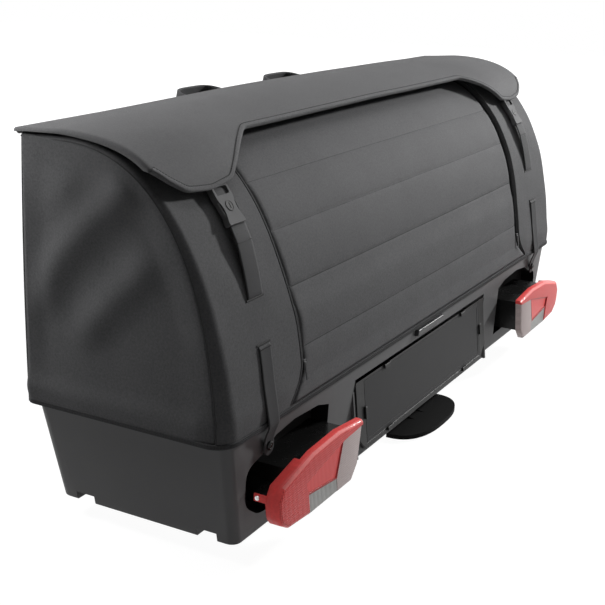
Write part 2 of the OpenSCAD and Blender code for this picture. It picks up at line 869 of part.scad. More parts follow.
module lever_grip() {
  grip_r = 8;
  slot = 5 + fit;
  color("#181818") difference() {
    pin_x(lever_y + lever_l - 2, lever_z, grip_r, -grip_w / 2, grip_w / 2);
    box(-15 - fit, 15 + fit, lever_y, lever_y + lever_l + fit, lever_z - slot, lever_z + slot);
  }
}

// Cover

module front_wall() {
  line = [for (z = front_zs) [front_line(z), z]];
  inner = [for (z = back(front_zs)) [front_line(z) - skin_t, z]];
  color("#4a4a4a") difference() {
    union() {
      along_x(-half_w + skin_t, half_w - skin_t) polygon(concat(line, inner));
      for (x = knuckles) {
        pin_x(hinge_y, hinge_z, sleeve_r, x, x + knuckle_l);
        box(x, x + knuckle_l, front_top - skin_t, hinge_y, top_z - skin_t - 5, top_z - skin_t);
        box(x, x + knuckle_l, front_top + fit, hinge_y, top_z - skin_t, hinge_z);
      }
    }
    pin_x(hinge_y, hinge_z, hinge_r + run, -half_w, half_w);
  }
}

module end_panel(side) {
  rear_line = [for (t = steps(0, 1, curve_steps)) curve_pt(t)];
  wall_line = [for (z = back(front_zs)) [front_line(z), z]];
  on_side(side) along_x(half_w - skin_t, half_w) polygon(concat(rear_line, [[front_top, top_z]], wall_line));
}

module end_panel_left() {
  color("#454545") end_panel(-1);
}

module end_panel_right() {
  color("#454545") end_panel(1);
}

// Strip from the zip to the end panel, over the rear curve and the flat top
module side_strip(side) {
  ts = steps(0, 1, curve_steps);
  outer = [for (t = ts) curve_pt(t)];
  inner = [for (t = back(ts)) curve_off(t, -skin_t)];
  flat = [[front_top, top_z], [front_top, top_z - skin_t]];
  on_side(side) along_x(zip_x + zip_w / 2, half_w - skin_t) polygon(concat(outer, flat, inner));
}

module side_strip_left() {
  color("#505050") side_strip(-1);
}

module side_strip_right() {
  color("#505050") side_strip(1);
}

// Padded panel: a flat border beside the zips, and channels that swell between the seams
hem_t = curve_at(tub_top + 2 * fit);
blend_t = curve_at(tub_top + hem_blend);
// 0 at the hem, where panel and zips lie flush with the side strips, 1 where they lie at full depth
function sunk(t) = min(1, max(0, (t - hem_t) / (blend_t - hem_t)));
seam_ends = concat([hem_t], [for (i = [0:seams - 1]) seam_first + i * seam_step], [panel_top]);
channel_steps = 8;
panel_ts = [for (i = [0:len(seam_ends) - 2], k = [0:channel_steps - 1])
  mix(seam_ends[i], seam_ends[i + 1], k / channel_steps)];
panel_swell = [for (i = [0:len(seam_ends) - 2], k = [0:channel_steps - 1])
  panel_crown * pow(sin(180 * k / channel_steps), 0.6)];
panel_x = zip_x - zip_w / 2;

module rear_panel() {
  ts = concat([0], panel_ts, [panel_top]);
  swell = concat([0], panel_swell, [0]);
  border = [for (t = ts) curve_off(t, -panel_inset * sunk(t))];
  face = [for (i = [0:len(ts) - 1]) curve_off(ts[i], swell[i] - panel_inset * sunk(ts[i]))];
  lining = [for (t = back(ts)) curve_off(t, -mix(skin_t, panel_inset + panel_t, sunk(t)))];
  color("#5a5a5a") {
    along_x(-panel_x + panel_border, panel_x - panel_border) polygon(concat(face, lining));
    both_sides() along_x(panel_x - panel_border, panel_x) polygon(concat(border, lining));
  }
}

// Zip tape between the panel's border and the side strip, with a flange under each
module zip(side) {
  ts = concat([0], steps(hem_t, blend_t, 4), steps(blend_t + 0.02, panel_top, curve_steps));
  on_side(side) along_x(panel_x, zip_x + zip_w / 2) polygon(concat(
    [for (t = ts) curve_off(t, -zip_depth * sunk(t))],
    [for (t = back(ts)) curve_off(t, -mix(skin_t, panel_inset + zip_t, sunk(t)))]
  ));
}

module zip_left() {
  color("#262626") zip(-1);
}

module zip_right() {
  color("#262626") zip(1);
}

// A slider rides on the chord of its stretch of zip, clear of the stretch's bulge
slider_at = curve_off(curve_at(hem_z + slider_up), -zip_depth);
slider_dir = curve_off(curve_at(hem_z + slider_up + slider_run), -zip_depth) - slider_at;
slider_turn = -atan2(slider_dir[0], slider_dir[1]);
slider_gap = 0.9;

module zip_slider(side) {
  half = 4;
  pull_half = 2.5;
  pull_t = 1.5;
  on_side(side) translate([zip_x, slider_at[0], slider_at[1]]) rotate([slider_turn, 0, 0]) {
    box(-half, half, -slider_gap - slider_t, -slider_gap, -slider_l / 2, slider_l / 2);
    box(-pull_half, pull_half, -slider_gap - slider_t - pull_t, -slider_gap - slider_t,
      -slider_pull, slider_l / 4);
  }
}

module zip_slider_left() {
  color("silver") zip_slider(-1);
}

module zip_slider_right() {
  color("silver") zip_slider(1);
}

// Flat-bar hoop inside each end, from the tub over the top to the front
hoop_foot = tub_top + fit;
hoop_foot_t = curve_at(hoop_foot);
hoop_x = tub_top_x - 24;
hoop_t = 8;
hoop_w = 14;
hoop_front = rim_front - 9;

// Depth of the hoop under the cover: on the tub's rounded rim low down, against the cover above
function hoop_depth(t) = skin_t + fit + 8 * (1 - min(1, 4 * t));
function hoop_line(d) = concat(
  [for (t = steps(hoop_foot_t, 1, curve_steps)) curve_off(t, -hoop_depth(t) - d)],
  [[front_top - skin_t - fit - d, top_z - skin_t - fit - d], [hoop_front - d, hoop_foot - past]]
);

module end_hoop(side) {
  on_side(side) intersection() {
    along_x(hoop_x, hoop_x + hoop_t) polygon(concat(hoop_line(0), back(hoop_line(hoop_w))));
    box(hoop_x, hoop_x + hoop_t, -cover_rear, cover_front, hoop_foot, top_z);
  }
}

module end_hoop_left() {
  color("gray") end_hoop(-1);
}

module end_hoop_right() {
  color("gray") end_hoop(1);
}

module top_rail() {
  rail_r = 7;
  bore_r = 5.5;
  y = front_top - skin_t - fit - rail_r;
  z = top_z - skin_t - fit - rail_r;
  color("silver") difference() {
    pin_x(y, z, rail_r, -hoop_x, hoop_x);
    pin_x(y, z, bore_r, -hoop_x - past, hoop_x + past);
  }
}

// Lid

module hinge_rod() {
  color("gray") pin_x(hinge_y, hinge_z, hinge_r, -half_w + skin_t, half_w - skin_t);
}

module lid_sleeves(r) {
  edge = half_w - skin_t;
  spans = [
    [-edge, knuckles[0] - knuckle_gap],
    [knuckles[0] + knuckle_l + knuckle_gap, knuckles[1] - knuckle_gap],
    [knuckles[1] + knuckle_l + knuckle_gap, edge]
  ];
  for (s = spans) pin_x(hinge_y, hinge_z, r, s[0], s[1]);
}

module lid() {
  cutout_x = half_w - cutout_in;
  tab_in_x = half_w - tab_in;
  tab_out_x = half_w - tab_out;
  tab_y = crown_y - lid_run * pow(1 - pow((tab_z - lid_low) / lid_drop, lid_power), 1 / lid_power);
  outer = [for (a = lid_as) lid_pt(a, 0)];
  inner = [for (a = back(lid_as)) lid_pt(a, lid_t)];
  front = [[hinge_y, hinge_z + sleeve_r], [hinge_y, hinge_z]];
  color("#606060") difference() {
    union() {
      along_x(-half_w, half_w) polygon(concat(outer, front, inner));
      lid_sleeves(sleeve_r);
    }
    // Low ends, the cut-out between the tabs and the slanted outer corners
    box(-half_w - past, half_w + past, crown_y - lid_run - past, crown_y, lid_low - past, tab_z);
    translate([0, 0, lid_low - past]) linear_extrude(lid_drop + 2 * past) polygon([
      [-cutout_x, -cutout_y], [cutout_x, -cutout_y], [tab_in_x, tab_y], [-tab_in_x, tab_y]
    ]);
    both_sides() translate([0, 0, lid_low - past]) linear_extrude(lid_drop + 2 * past) polygon([
      [half_w + past, -lid_side_y], [half_w + past, tab_y], [tab_out_x, tab_y]
    ]);
    for (x = knuckles)
      pin_x(hinge_y, hinge_z, sleeve_r + knuckle_gap, x - knuckle_gap, x + knuckle_l + knuckle_gap);
    pin_x(hinge_y, hinge_z, hinge_r + run, -half_w - past, half_w + past);
  }
}

// Webbing sewn under each lid tab, led to the buckle's upper bar
module lid_webbing() {
  sew_low = 8;
  sew_high = 22;
  sew_as = steps(tab_a + sew_low, tab_a + sew_high, 6);
  d = lid_t + fit;
  outer = [for (a = sew_as) lid_pt(a, d)];
  inner = [for (a = back(sew_as)) lid_pt(a, d + web_t)];
  color("#202020") both_sides() along_x(buckle_x - tongue_w / 2, buckle_x + tongue_w / 2) polygon(concat(
    [for (z = [window_low + 2, buckle_high]) from_buckle(bar_back + fit, z)], outer, inner,
    [for (z = [buckle_high, window_low + 2]) from_buckle(bar_back + fit + web_t, z)]
  ));
}

// Buckle shell: open at its back, so that it lifts off the tongue when the lid swings up
module buckle(side) {
  half = buckle_w / 2;
  waist = half - 4;
  in_buckle(side) difference() {
    along_y(buckle_face, -buckle_gap) polygon([
      [-half, -buckle_low], [half, -buckle_low], [half, -4], [waist, 6], [waist, 14],
      [half, buckle_high - 12], [half, buckle_high], [-half, buckle_high], [-half, buckle_high - 12],
      [-waist, 14], [-waist, 6], [-half, -4]
    ]);
    box(-pocket_x, pocket_x, pocket_face, past, -buckle_low - past, pocket_top);
    box(-pocket_x, pocket_x, buckle_face - past, past, window_low, window_high);
    box(-pocket_x, pocket_x, bar_back, past, window_low, buckle_high + past);
    rotate([90, 0, 0]) cylinder(r = lock_r + run, h = -buckle_face + past);
  }
}

module buckle_left() {
  color("#333333") buckle(-1);
}

module buckle_right() {
  color("#333333") buckle(1);
}

module lock(side) {
  key_w = 1.4;
  key_h = 8;
  barrel = buckle_wall + 0.5;
  in_buckle(side) difference() {
    translate([0, pocket_face, 0]) rotate([90, 0, 0]) cylinder(r = lock_r, h = barrel);
    box(-key_w / 2, key_w / 2, buckle_face - past, buckle_face + 2, -key_h / 2, key_h / 2);
  }
}

module lock_left() {
  color("#484848") lock(-1);
}

module lock_right() {
  color("#484848") lock(1);
}

module tongue(side) {
  slot_w = tongue_w - 8;
  in_buckle(side) difference() {
    box(-tongue_w / 2, tongue_w / 2, tongue_out, tongue_out + tongue_t, tongue_low, pocket_top - 4);
    box(-slot_w / 2, slot_w / 2, tongue_out - past, tongue_out + tongue_t + past,
      tongue_low + 4, tongue_low + 8);
  }
}

module tongue_left() {
  color("#2a2a2a") tongue(-1);
}

module tongue_right() {
  color("#2a2a2a") tongue(1);
}

// Strap from the tongue down to its slit in the side strip
module upper_straps() {
  t_low = curve_at(hem_z + slit_up);
  t_high = curve_at(from_buckle(0, tongue_low - 14)[1]);
  ts = steps(t_low, t_high, 8);
  end_y = tongue_out + tongue_t / 2;
  lead = [
    from_buckle(end_y - web_t / 2, tongue_low - run), from_buckle(end_y + web_t / 2, tongue_low - run)
  ];
  color("#303030") both_sides() along_x(buckle_x - strap_w / 2, buckle_x + strap_w / 2) polygon(concat(
    [for (t = ts) curve_off(t, fit + web_t)], lead, [for (t = back(ts)) curve_off(t, fit)]
  ));
}

// Strap from its slit in the side strip over the hem to a moulded end that is riveted to the tub
rivet_z = hem_z - rivet_down;
tail_pad = 2;
tail_end = rivet_z - tail_w / 2;
tail_face = tub_rear(rivet_z) - fit - web_t - tail_pad;

module lower_straps() {
  t_top = curve_at(hem_z + slit_low);
  ts = steps(0, t_top, 6);
  color("#2a2a2a") both_sides() difference() {
    along_x(buckle_x - tail_w / 2, buckle_x + tail_w / 2) polygon(concat(
      [[tail_face, tail_end], [tail_face, rivet_z + rivet_r]], [for (t = ts) curve_off(t, fit + web_t)],
      [for (t = back(ts)) curve_off(t, fit)],
      [[tub_rear(hem_z) - fit, hem_z - hem_overlap], [tub_rear(tail_end) - fit, tail_end]]
    ));
    translate([buckle_x, tail_face - past, rivet_z]) rotate([-90, 0, 0])
      cylinder(r = rivet_r / 2 + run, h = tail_pad + 2 * web_t + 2 * past);
  }
}

module strap_rivets() {
  head_t = 3;
  color("#151515") both_sides() translate([buckle_x, tail_face - head_t, rivet_z]) rotate([-90, 0, 0]) {
    cylinder(r = rivet_r, h = head_t);
    cylinder(r = rivet_r / 2, h = head_t + tub_rear(rivet_z) - tail_face + tub_wall);
  }
}

// Lights

module light_housing(side) {
  on_side(side) {
    difference() {
      along_y(lens_back, -recess_y) polygon(housing_line);
      along_y(lens_back - past, -recess_y - lamp_wall)
        translate(housing_mid) scale(1 - 2 * lamp_wall / lamp_h) translate(-housing_mid) polygon(housing_line);
    }
    box(housing_out - past, tab_x - fit, screw_y - ear_l / 2, screw_y + ear_l / 2, tab_low, tab_low + tab_h);
  }
}

module light_housing_left() {
  color("#181818") light_housing(-1);
}

module light_housing_right() {
  color("#181818") light_housing(1);
}

// Red lens: a bar along the top and a deep outer end with a screw tab
module light_red(side) {
  on_side(side) {
    along_y(-lamp_face, lens_back) polygon(red_line);
    intersection() {
      along_y(lens_back - past, lens_end_d - lamp_face) polygon(red_line);
      box(lens_end_x, half_w, -lamp_face, 0, 0, top_z);
    }
    difference() {
      box(tab_x, tab_x + tab_t, lens_end_d - lamp_face - past, tab_back, tab_low, tab_low + tab_h);
      pin_x(screw_y, tab_low + tab_h / 2, screw_r, tab_x - past, tab_x + tab_t + past);
    }
  }
}

module light_red_left() {
  color("firebrick") light_red(-1);
}

module light_red_right() {
  color("firebrick") light_red(1);
}

module light_clear(side) {
  face_step = 2;
  on_side(side) along_y(face_step - lamp_face, lens_back) polygon(clear_line);
}

module light_clear_left() {
  color("gainsboro") light_clear(-1);
}

module light_clear_right() {
  color("gainsboro") light_clear(1);
}

module light_reflectors() {
  face_step = 1;
  color("indianred") both_sides() along_y(face_step - lamp_face, lens_back) polygon(reflector_line);
}

module led_boards() {
  board_y = lens_back + 20;
  board_line_scale = 1 - 2.6 * lamp_wall / lamp_h;
  board_x0 = lamp_in + housing_in + 36;
  board_x1 = lens_end_x - 20;
  color("darkgreen") both_sides() {
    along_y(board_y, board_y + board_t)
      translate(housing_mid) scale(board_line_scale) translate(-housing_mid) polygon(housing_line);
    for (i = [0:leds - 1])
      translate([mix(board_x0, board_x1, i / (leds - 1)), board_y, housing_mid[1] + 10])
        rotate([90, 0, 0]) cylinder(r = led_r, h = 4);
  }
}

// Number plate
plate_face = -holder_t - plate_t;

module plate_holder() {
  half = plate_w / 2 + holder_side;
  low = plate_h / 2 + holder_rim;
  cut = 26;
  color("#1a1a1a") on_plate() difference() {
    along_y(plate_face, 0) polygon([
      [-half + cut, -low], [half - cut, -low], [half, cut - low],
      [half, low], [-half, low], [-half, cut - low]
    ]);
    box(-plate_w / 2 - fit, plate_w / 2 + fit, plate_face - past, -holder_t,
      -plate_h / 2 - fit, plate_h / 2 + fit);
  }
}

module number_plate() {
  field_x = plate_w / 2 - plate_border;
  field_z = plate_h / 2 - plate_border;
  color("#3c3c3c") on_plate() difference() {
    box(-plate_w / 2, plate_w / 2, plate_face, -holder_t, -plate_h / 2, plate_h / 2);
    box(-field_x, field_x, plate_face - past, plate_face + plate_raise, -field_z, field_z);
  }
}

module plate_clips() {
  clip_w = 22;
  clip_h = 7;
  clip_t = 4;
  clip_out = 2;
  color("#262626") on_plate() translate([0, plate_face - clip_t, 0]) {
    for (x = [-plate_w / 3, plate_w / 3], s = [-1, 1])
      translate([x - clip_w / 2, 0, s * (plate_h / 2 + clip_out) - clip_h / 2])
        cube([clip_w, clip_t, clip_h]);
    both_sides()
      translate([plate_w / 2 + clip_out - clip_h / 2, 0, -clip_w / 2]) cube([clip_h, clip_t, clip_w]);
  }
}

module badge() {
  z = hem_z - 20;
  depth = 8;
  color("#2e2e2e") along_x(-badge_w / 2, badge_w / 2) polygon([
    [tub_rear(z), z], [tub_rear(z) - depth, z + 2], [tub_rear(z + badge_h) - depth, z + badge_h - 2],
    [tub_rear(z + badge_h), z + badge_h]
  ]);
}

// Webbing bow on the front wall, sewn down at both ends
module handle(side) {
  bow_steps = 20;
  bow_n = 2.6;
  patch_w = 30;
  patch_x = handle_w / 2 - handle_t / 2;
  patch_zs = [handle_z - 23, handle_z + 23];
  function bow(inset) = [for (i = [0:bow_steps]) let (a = 180 * i / bow_steps) [
    (handle_w / 2 - inset) * sign(cos(a)) * pow(abs(cos(a)), 2 / bow_n),
    (handle_reach - inset) * pow(sin(a), 2 / bow_n)
  ]];
  on_side(side) translate([handle_x, 0, 0]) {
    difference() {
      translate([0, handle_y, handle_z]) rotate([handle_rise, 0, 0]) translate([0, 0, -handle_h / 2])
        linear_extrude(handle_h) polygon(concat(bow(0), back(bow(handle_t))));
      along_x(-handle_w, handle_w) polygon(concat(
        [for (z = [handle_z - handle_w, handle_z + handle_w]) [front_line(z) + handle_t / 2, z]],
        [[0, handle_z + handle_w], [0, handle_z - handle_w]]
      ));
    }
    both_sides() along_x(patch_x - patch_w / 2, patch_x + patch_w / 2) polygon([
      for (z = patch_zs) [front_line(z) + fit, z],
      for (z = back(patch_zs)) [front_line(z) + fit + handle_t, z]
    ]);
  }
}

module handle_left() {
  color("#1e1e1e") handle(-1);
}

module handle_right() {
  color("#1e1e1e") handle(1);
}

module cable_gland() {
  flange_t = 3;
  y = tub_front(gland_z);
  color("#151515") translate([gland_x, y - tub_wall - 6, gland_z]) rotate([-90, 0, 0]) difference() {
    union() {
      cylinder(r = gland_r, h = tub_wall + 12);
      translate([0, 0, tub_wall + 6 + 2 * past]) cylinder(r = gland_r + 5, h = flange_t);
    }
    translate([0, 0, -past]) cylinder(r = gland_r / 2, h = tub_wall + 20);
  }
}

placed() tub();
placed() tub_floor();
placed() tub_bolts();
placed() chassis_feet();
placed() cross_tube_front();
placed() cross_tube_rear();
placed() tube_caps();
placed() centre_beam();
placed() tilt_pin();
placed() coupling_arm();
placed() coupling_housing();
placed() ball_seat();
placed() clamp_jaw();
placed() clamp_lever();
placed() lever_pin();
placed() lever_grip();
placed() pedal();
placed() pedal_pin();
placed() pedal_spring();
placed() release_rod();
placed() front_wall();
placed() end_panel_left();
placed() end_panel_right();
placed() side_strip_left();
placed() side_strip_right();
placed() rear_panel();
placed() zip_left();
placed() zip_right();
placed() zip_slider_left();
placed() zip_slider_right();
placed() end_hoop_left();
placed() end_hoop_right();
placed() top_rail();
placed() hinge_rod();
placed() lid();
placed() lid_webbing();
placed() buckle_left();
placed() buckle_right();
placed() lock_left();
placed() lock_right();
placed() tongue_left();
placed() tongue_right();
placed() upper_straps();
placed() lower_straps();
placed() strap_rivets();
placed() light_housing_left();
placed() light_housing_right();
placed() light_red_left();
placed() light_red_right();
placed() light_clear_left();
placed() light_clear_right();
placed() light_reflectors();
placed() led_boards();
placed() plate_holder();
placed() number_plate();
placed() plate_clips();
placed() badge();
placed() handle_left();
placed() handle_right();
placed() cable_gland();
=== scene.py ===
"""Cloth, lights and fittings of a soft-sided cargo carrier that stands on a tow ball."""
import functools
import json
import math

import bmesh
import bpy
from bpy.props import FloatProperty, FloatVectorProperty, PointerProperty
from mathutils import Matrix, Vector, noise


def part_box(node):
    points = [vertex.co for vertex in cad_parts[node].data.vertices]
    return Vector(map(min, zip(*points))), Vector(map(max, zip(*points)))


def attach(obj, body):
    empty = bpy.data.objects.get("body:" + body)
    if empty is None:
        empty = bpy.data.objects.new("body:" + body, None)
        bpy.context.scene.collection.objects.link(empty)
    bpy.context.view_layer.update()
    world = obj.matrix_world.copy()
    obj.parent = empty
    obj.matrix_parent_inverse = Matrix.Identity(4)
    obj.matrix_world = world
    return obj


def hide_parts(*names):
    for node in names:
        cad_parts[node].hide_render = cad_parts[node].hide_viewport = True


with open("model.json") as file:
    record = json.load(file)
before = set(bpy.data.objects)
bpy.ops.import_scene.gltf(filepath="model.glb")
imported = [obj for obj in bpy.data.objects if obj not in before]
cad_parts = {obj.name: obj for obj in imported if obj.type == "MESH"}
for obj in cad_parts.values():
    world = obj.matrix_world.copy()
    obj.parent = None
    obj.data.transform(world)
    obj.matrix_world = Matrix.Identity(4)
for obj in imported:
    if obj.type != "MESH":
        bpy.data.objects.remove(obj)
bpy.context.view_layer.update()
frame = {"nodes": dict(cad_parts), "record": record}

bl_info = {
    "name": "Cargo carrier dress",
    "version": (1, 0, 0),
    "blender": (4, 5, 0),
    "location": "3D View > Sidebar > Carrier",
    "description": "Cloth cover, lid, straps, lights and finishes of a tow-ball cargo carrier",
    "category": "Object",
}

TAU = 2 * math.pi
SIDES = (("left", -1), ("right", 1))
BODY_OF = {node: body for body, nodes in frame["record"]["behaviour"]["bodies"].items() for node in nodes}
# Pieces are laid out about the tub's centre line, which the lights' face places in the frame
LENS_FACE = 0.228
CENTRE_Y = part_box("light_red_left")[0].y + LENS_FACE
# A point well inside the cover, which every cloth panel faces away from
MIDDLE = Vector((0, CENTRE_Y, 0.36))
ACROSS, AHEAD, UP = Vector((1, 0, 0)), Vector((0, 1, 0)), Vector((0, 0, 1))
CLOTH_T = 0.002
HINGE_ROD_R = 0.0026


# Sizes and colours

def length(name, default, description):
    return FloatProperty(name=name, description=description, default=default, unit="LENGTH", precision=4)


def share(name, default, description):
    return FloatProperty(name=name, description=description, default=default, subtype="FACTOR")


def turn(name, default, description):
    return FloatProperty(name=name, description=description, default=math.radians(default), subtype="ANGLE")


def tint(name, default, description):
    return FloatVectorProperty(name=name, description=description, default=default, subtype="COLOR",
                               min=0, max=1)


class CoverSizes(bpy.types.PropertyGroup):
    """Sizes of the cloth cover"""
    half_width: length("Half width", 0.695, "Half the cover's width")
    hem_z: length("Hem", 0.204, "Lower edge of the cover over the floor")
    top_z: length("Top", 0.604, "Top of the cover over the floor")
    rear_hem: length("Rear hem", 0.180, "Rear hem behind the centre line")
    rear_lean: length("Rear lean", 0.012, "How far the rear leans in above the hem")
    rear_rise: length("Rear rise", 0.196, "Height over which the rear stays upright")
    shoulder: length("Shoulder", 0.194, "Run of the shoulder behind the crown")
    crown_y: length("Crown", 0.084, "Line where the top turns flat")
    front_top: length("Front top", 0.156, "Upper edge of the front wall")
    front_hem: length("Front hem", 0.169, "Lower edge of the front wall")
    zip_w: length("Zip width", 0.0090, "Width of the gap that shows a zip")
    panel_inset: length("Panel inset", 0.0080, "Depth of the rear panel under the side strips")
    panel_t: length("Panel thickness", 0.007, "Thickness of the rear panel")
    panel_swell: length("Panel swell", 0.0026, "Swell of a channel between two seams")
    panel_top: share("Panel top", 0.86, "Upper edge of the rear panel along the curve")
    seam_first: share("First seam", 0.14, "Lowest seam along the curve")
    seam_step: share("Seam step", 0.162, "Step from seam to seam along the curve")
    fold: length("Fold", 0.009, "Height of the diagonal folds on an end panel")


class LidSizes(bpy.types.PropertyGroup):
    """Sizes of the lid"""
    run: length("Run", 0.182, "How far the lid reaches behind the crown")
    drop: length("Drop", 0.116, "Height of the lid's curve")
    top: length("Top", 0.616, "Top of the lid over the floor")
    thick: length("Thickness", 0.007, "Thickness of the lid")
    hinge_y: length("Hinge", 0.163, "Hinge line ahead of the centre line")
    hinge_z: length("Hinge height", 0.606, "Hinge line over the floor")
    cutout_x: length("Cut-out", 0.424, "Corner of the cut-out from the centre")
    cutout_y: length("Cut-out depth", 0.034, "Edge of the cut-out behind the centre line")
    tab_y: length("Tab reach", 0.0935, "Lower edge of a tab behind the centre line")
    side_y: length("Side reach", 0.062, "Where the lid's edge meets its side")
    bow: length("Bow", 0.010, "How far the lid bows up in the middle")
    lip: length("Lip", 0.0085, "Depth of the lip along the lid's sides")


class StrapSizes(bpy.types.PropertyGroup):
    """Sizes of straps, buckles and handles"""
    place_x: length("Place", 0.577, "Middle of a strap from the centre")
    lock_z: length("Lock", 0.506, "Height of the lock")
    upper_w: length("Upper width", 0.0375, "Width of the upper strap")
    lower_w: length("Lower width", 0.029, "Width of the lower strap")
    web_w: length("Web width", 0.026, "Width of the webbing under the lid")
    thick: length("Thickness", 0.0018, "Thickness of the webbing")
    slit_up: length("Upper slit", 0.387, "Height of the slit that takes the upper strap")
    slit_low: length("Lower slit", 0.323, "Height of the slit that the lower strap leaves")
    rivet_z: length("Rivet", 0.170, "Height of the rivet on the tub")
    handle_x: length("Handle place", 0.147, "Middle of a handle from the centre")
    handle_w: length("Handle width", 0.120, "Width of a handle's bow")
    handle_reach: length("Handle reach", 0.102, "How far a handle stands out")
    handle_h: length("Handle webbing", 0.028, "Width of a handle's webbing")
    handle_z: length("Handle height", 0.573, "Height of a handle's seams")
    handle_rise: turn("Handle rise", 12.7, "Slope of a handle")


class Colours(bpy.types.PropertyGroup):
    """Colours of the finishes"""
    cloth: tint("Cover cloth", (0.107, 0.107, 0.110), "Grey woven cover")
    # The lid cloth is lighter than the cover cloth partly as painted light, standing in for light on the
    # lid's top
    lid: tint("Lid cloth", (0.145, 0.145, 0.148), "Grey woven lid")
    binding: tint("Binding", (0.060, 0.060, 0.062), "Tape round the cloth's edges")
    thread: tint("Thread", (0.030, 0.030, 0.031), "Stitches")
    webbing: tint("Webbing", (0.062, 0.062, 0.064), "Strap webbing")
    shell: tint("Shell", (0.127, 0.127, 0.129), "Moulded tub")
    trim: tint("Trim", (0.012, 0.012, 0.012), "Black mouldings")
    buckle: tint("Buckle", (0.150, 0.150, 0.152), "Grey satin buckle")
    red: tint("Red lens", (0.74, 0.075, 0.072), "Red lens")
    clear: tint("Clear lens", (0.36, 0.36, 0.35), "Clear lens over a pale reflector")
    plate: tint("Plate", (0.048, 0.048, 0.049), "Bare dark plate")


class StageSettings(bpy.types.PropertyGroup):
    """Camera and light"""
    eye: FloatVectorProperty(name="Eye", description="Place of the camera", subtype="XYZ", unit="LENGTH",
                             default=(-1.8816, -0.9671, 0.8575))
    target: FloatVectorProperty(name="Target", description="Point the camera looks at", subtype="XYZ",
                                unit="LENGTH", default=(-0.1651, -0.0095, 0.2469))
    roll: turn("Roll", 1.14, "Turn of the camera about its view")
    lens: FloatProperty(name="Lens", description="Focal length in millimetres", default=68.51)
    sky: share("Sky", 0.01, "Strength of the light from all round")
    key: FloatProperty(name="Key", description="Power of the key light", default=170, unit="POWER")
    top: FloatProperty(name="Top", description="Power of the overhead light", default=44, unit="POWER")
    fill: FloatProperty(name="Fill", description="Power of the light along the left end", default=5.9,
                        unit="POWER")


# Shapes

def mix(a, b, t):
    return a + (b - a) * t


def ease(low, high, value):
    t = min(1, max(0, (value - low) / (high - low)))
    return t * t * (3 - 2 * t)


def spot(x, yz):
    """A point of the carrier from its place across and its (y, z) behind the tub's centre line."""
    return Vector((x, yz[0] + CENTRE_Y, yz[1]))


def in_space(yz):
    """A direction of the side view, (y, z), in space."""
    return Vector((0, *yz))


def left_of(along):
    """Left of a direction of the side view: out of the cover, where a line climbs its rear."""
    return Vector((-along.y, along.x))


def last_where(holds, high):
    """The end of the stretch from 0 along which a test holds."""
    low = 0.0
    for _ in range(40):
        half = (low + high) / 2
        low, high = (half, high) if holds(half) else (low, half)
    return low


def steps(count):
    """Even shares from 0 to 1."""
    return [k / count for k in range(count + 1)]


class Profile:
    """The cover from the side, as (y, z): t runs from hem to crown, and past 1 along the flat top."""
    REACH = 0.53
    HEM_RAMP = (0.2126, 0.240)
    # Path of a zip, as (height, place across): it swings out to the hem
    ZIP = ((0.200, 0.524), (0.212, 0.514), (0.226, 0.498), (0.242, 0.483), (0.262, 0.473), (0.330, 0.474),
           (0.380, 0.482), (0.430, 0.488), (0.490, 0.490), (0.640, 0.490))

    def __init__(self, cover):
        self.cover = cover
        self.knots = [
            Vector((-cover.rear_hem, cover.hem_z)),
            Vector((cover.rear_lean - cover.rear_hem, cover.hem_z + cover.rear_rise)),
            Vector((cover.crown_y - cover.shoulder, cover.top_z)),
            Vector((cover.crown_y, cover.top_z)),
        ]
        self.hem_t, self.full_t = (self.at_height(z) for z in self.HEM_RAMP)
        self.end_t = 1 + (cover.front_top - cover.crown_y) / self.REACH
        self.zip = Line(self.ZIP).rounded(0.004, 4)

    def zip_x(self, t):
        """Place across of the zips at t."""
        return self.zip.cross(0, self.point(t).y).y

    def point(self, t):
        if t > 1:
            return self.knots[3] + Vector(((t - 1) * self.REACH, 0))
        a, b, c, d = self.knots
        s = 1 - t
        return a * s ** 3 + b * 3 * t * s * s + c * 3 * t * t * s + d * t ** 3

    def slope(self, t):
        a, b, c, d = self.knots
        t = min(t, 1)
        s = 1 - t
        return ((b - a) * s * s + (c - b) * 2 * t * s + (d - c) * t * t).normalized()

    def out(self, t):
        return left_of(self.slope(t))

    def off(self, t, depth):
        """The point at t, moved out of the cover by depth."""
        return self.point(t) + self.out(t) * depth

    def at_height(self, z):
        return last_where(lambda t: self.point(t).y < z, 1.0)

    def front(self, z):
        cover = self.cover
        up = max(0, (z - cover.hem_z) / (cover.top_z - cover.hem_z))
        return cover.front_hem - (cover.front_hem - cover.front_top) * up * up

    def sunk(self, t):
        """0 at the hem, where zips and rear panel lie flush, 1 where they lie at full depth."""
        return min(1, max(0, (t - self.hem_t) / (self.full_t - self.hem_t)))

    def groove(self, t):
        """Depth of the groove that a zip lies in, deeper above its slider's range."""
        return mix(0.0056, 0.0100, ease(0.34, 0.37, self.point(t).y))

    def inset(self, t):
        """Depth of the rear panel under the side strips."""
        return self.cover.panel_inset * mix(0.62, 1, ease(0.33, 0.37, self.point(t).y)) * self.sunk(t)

    def corner(self, t):
        """Radius of the cover's upright corner."""
        return 0.008 + 0.025 * max(0, 1 - t) ** 1.64


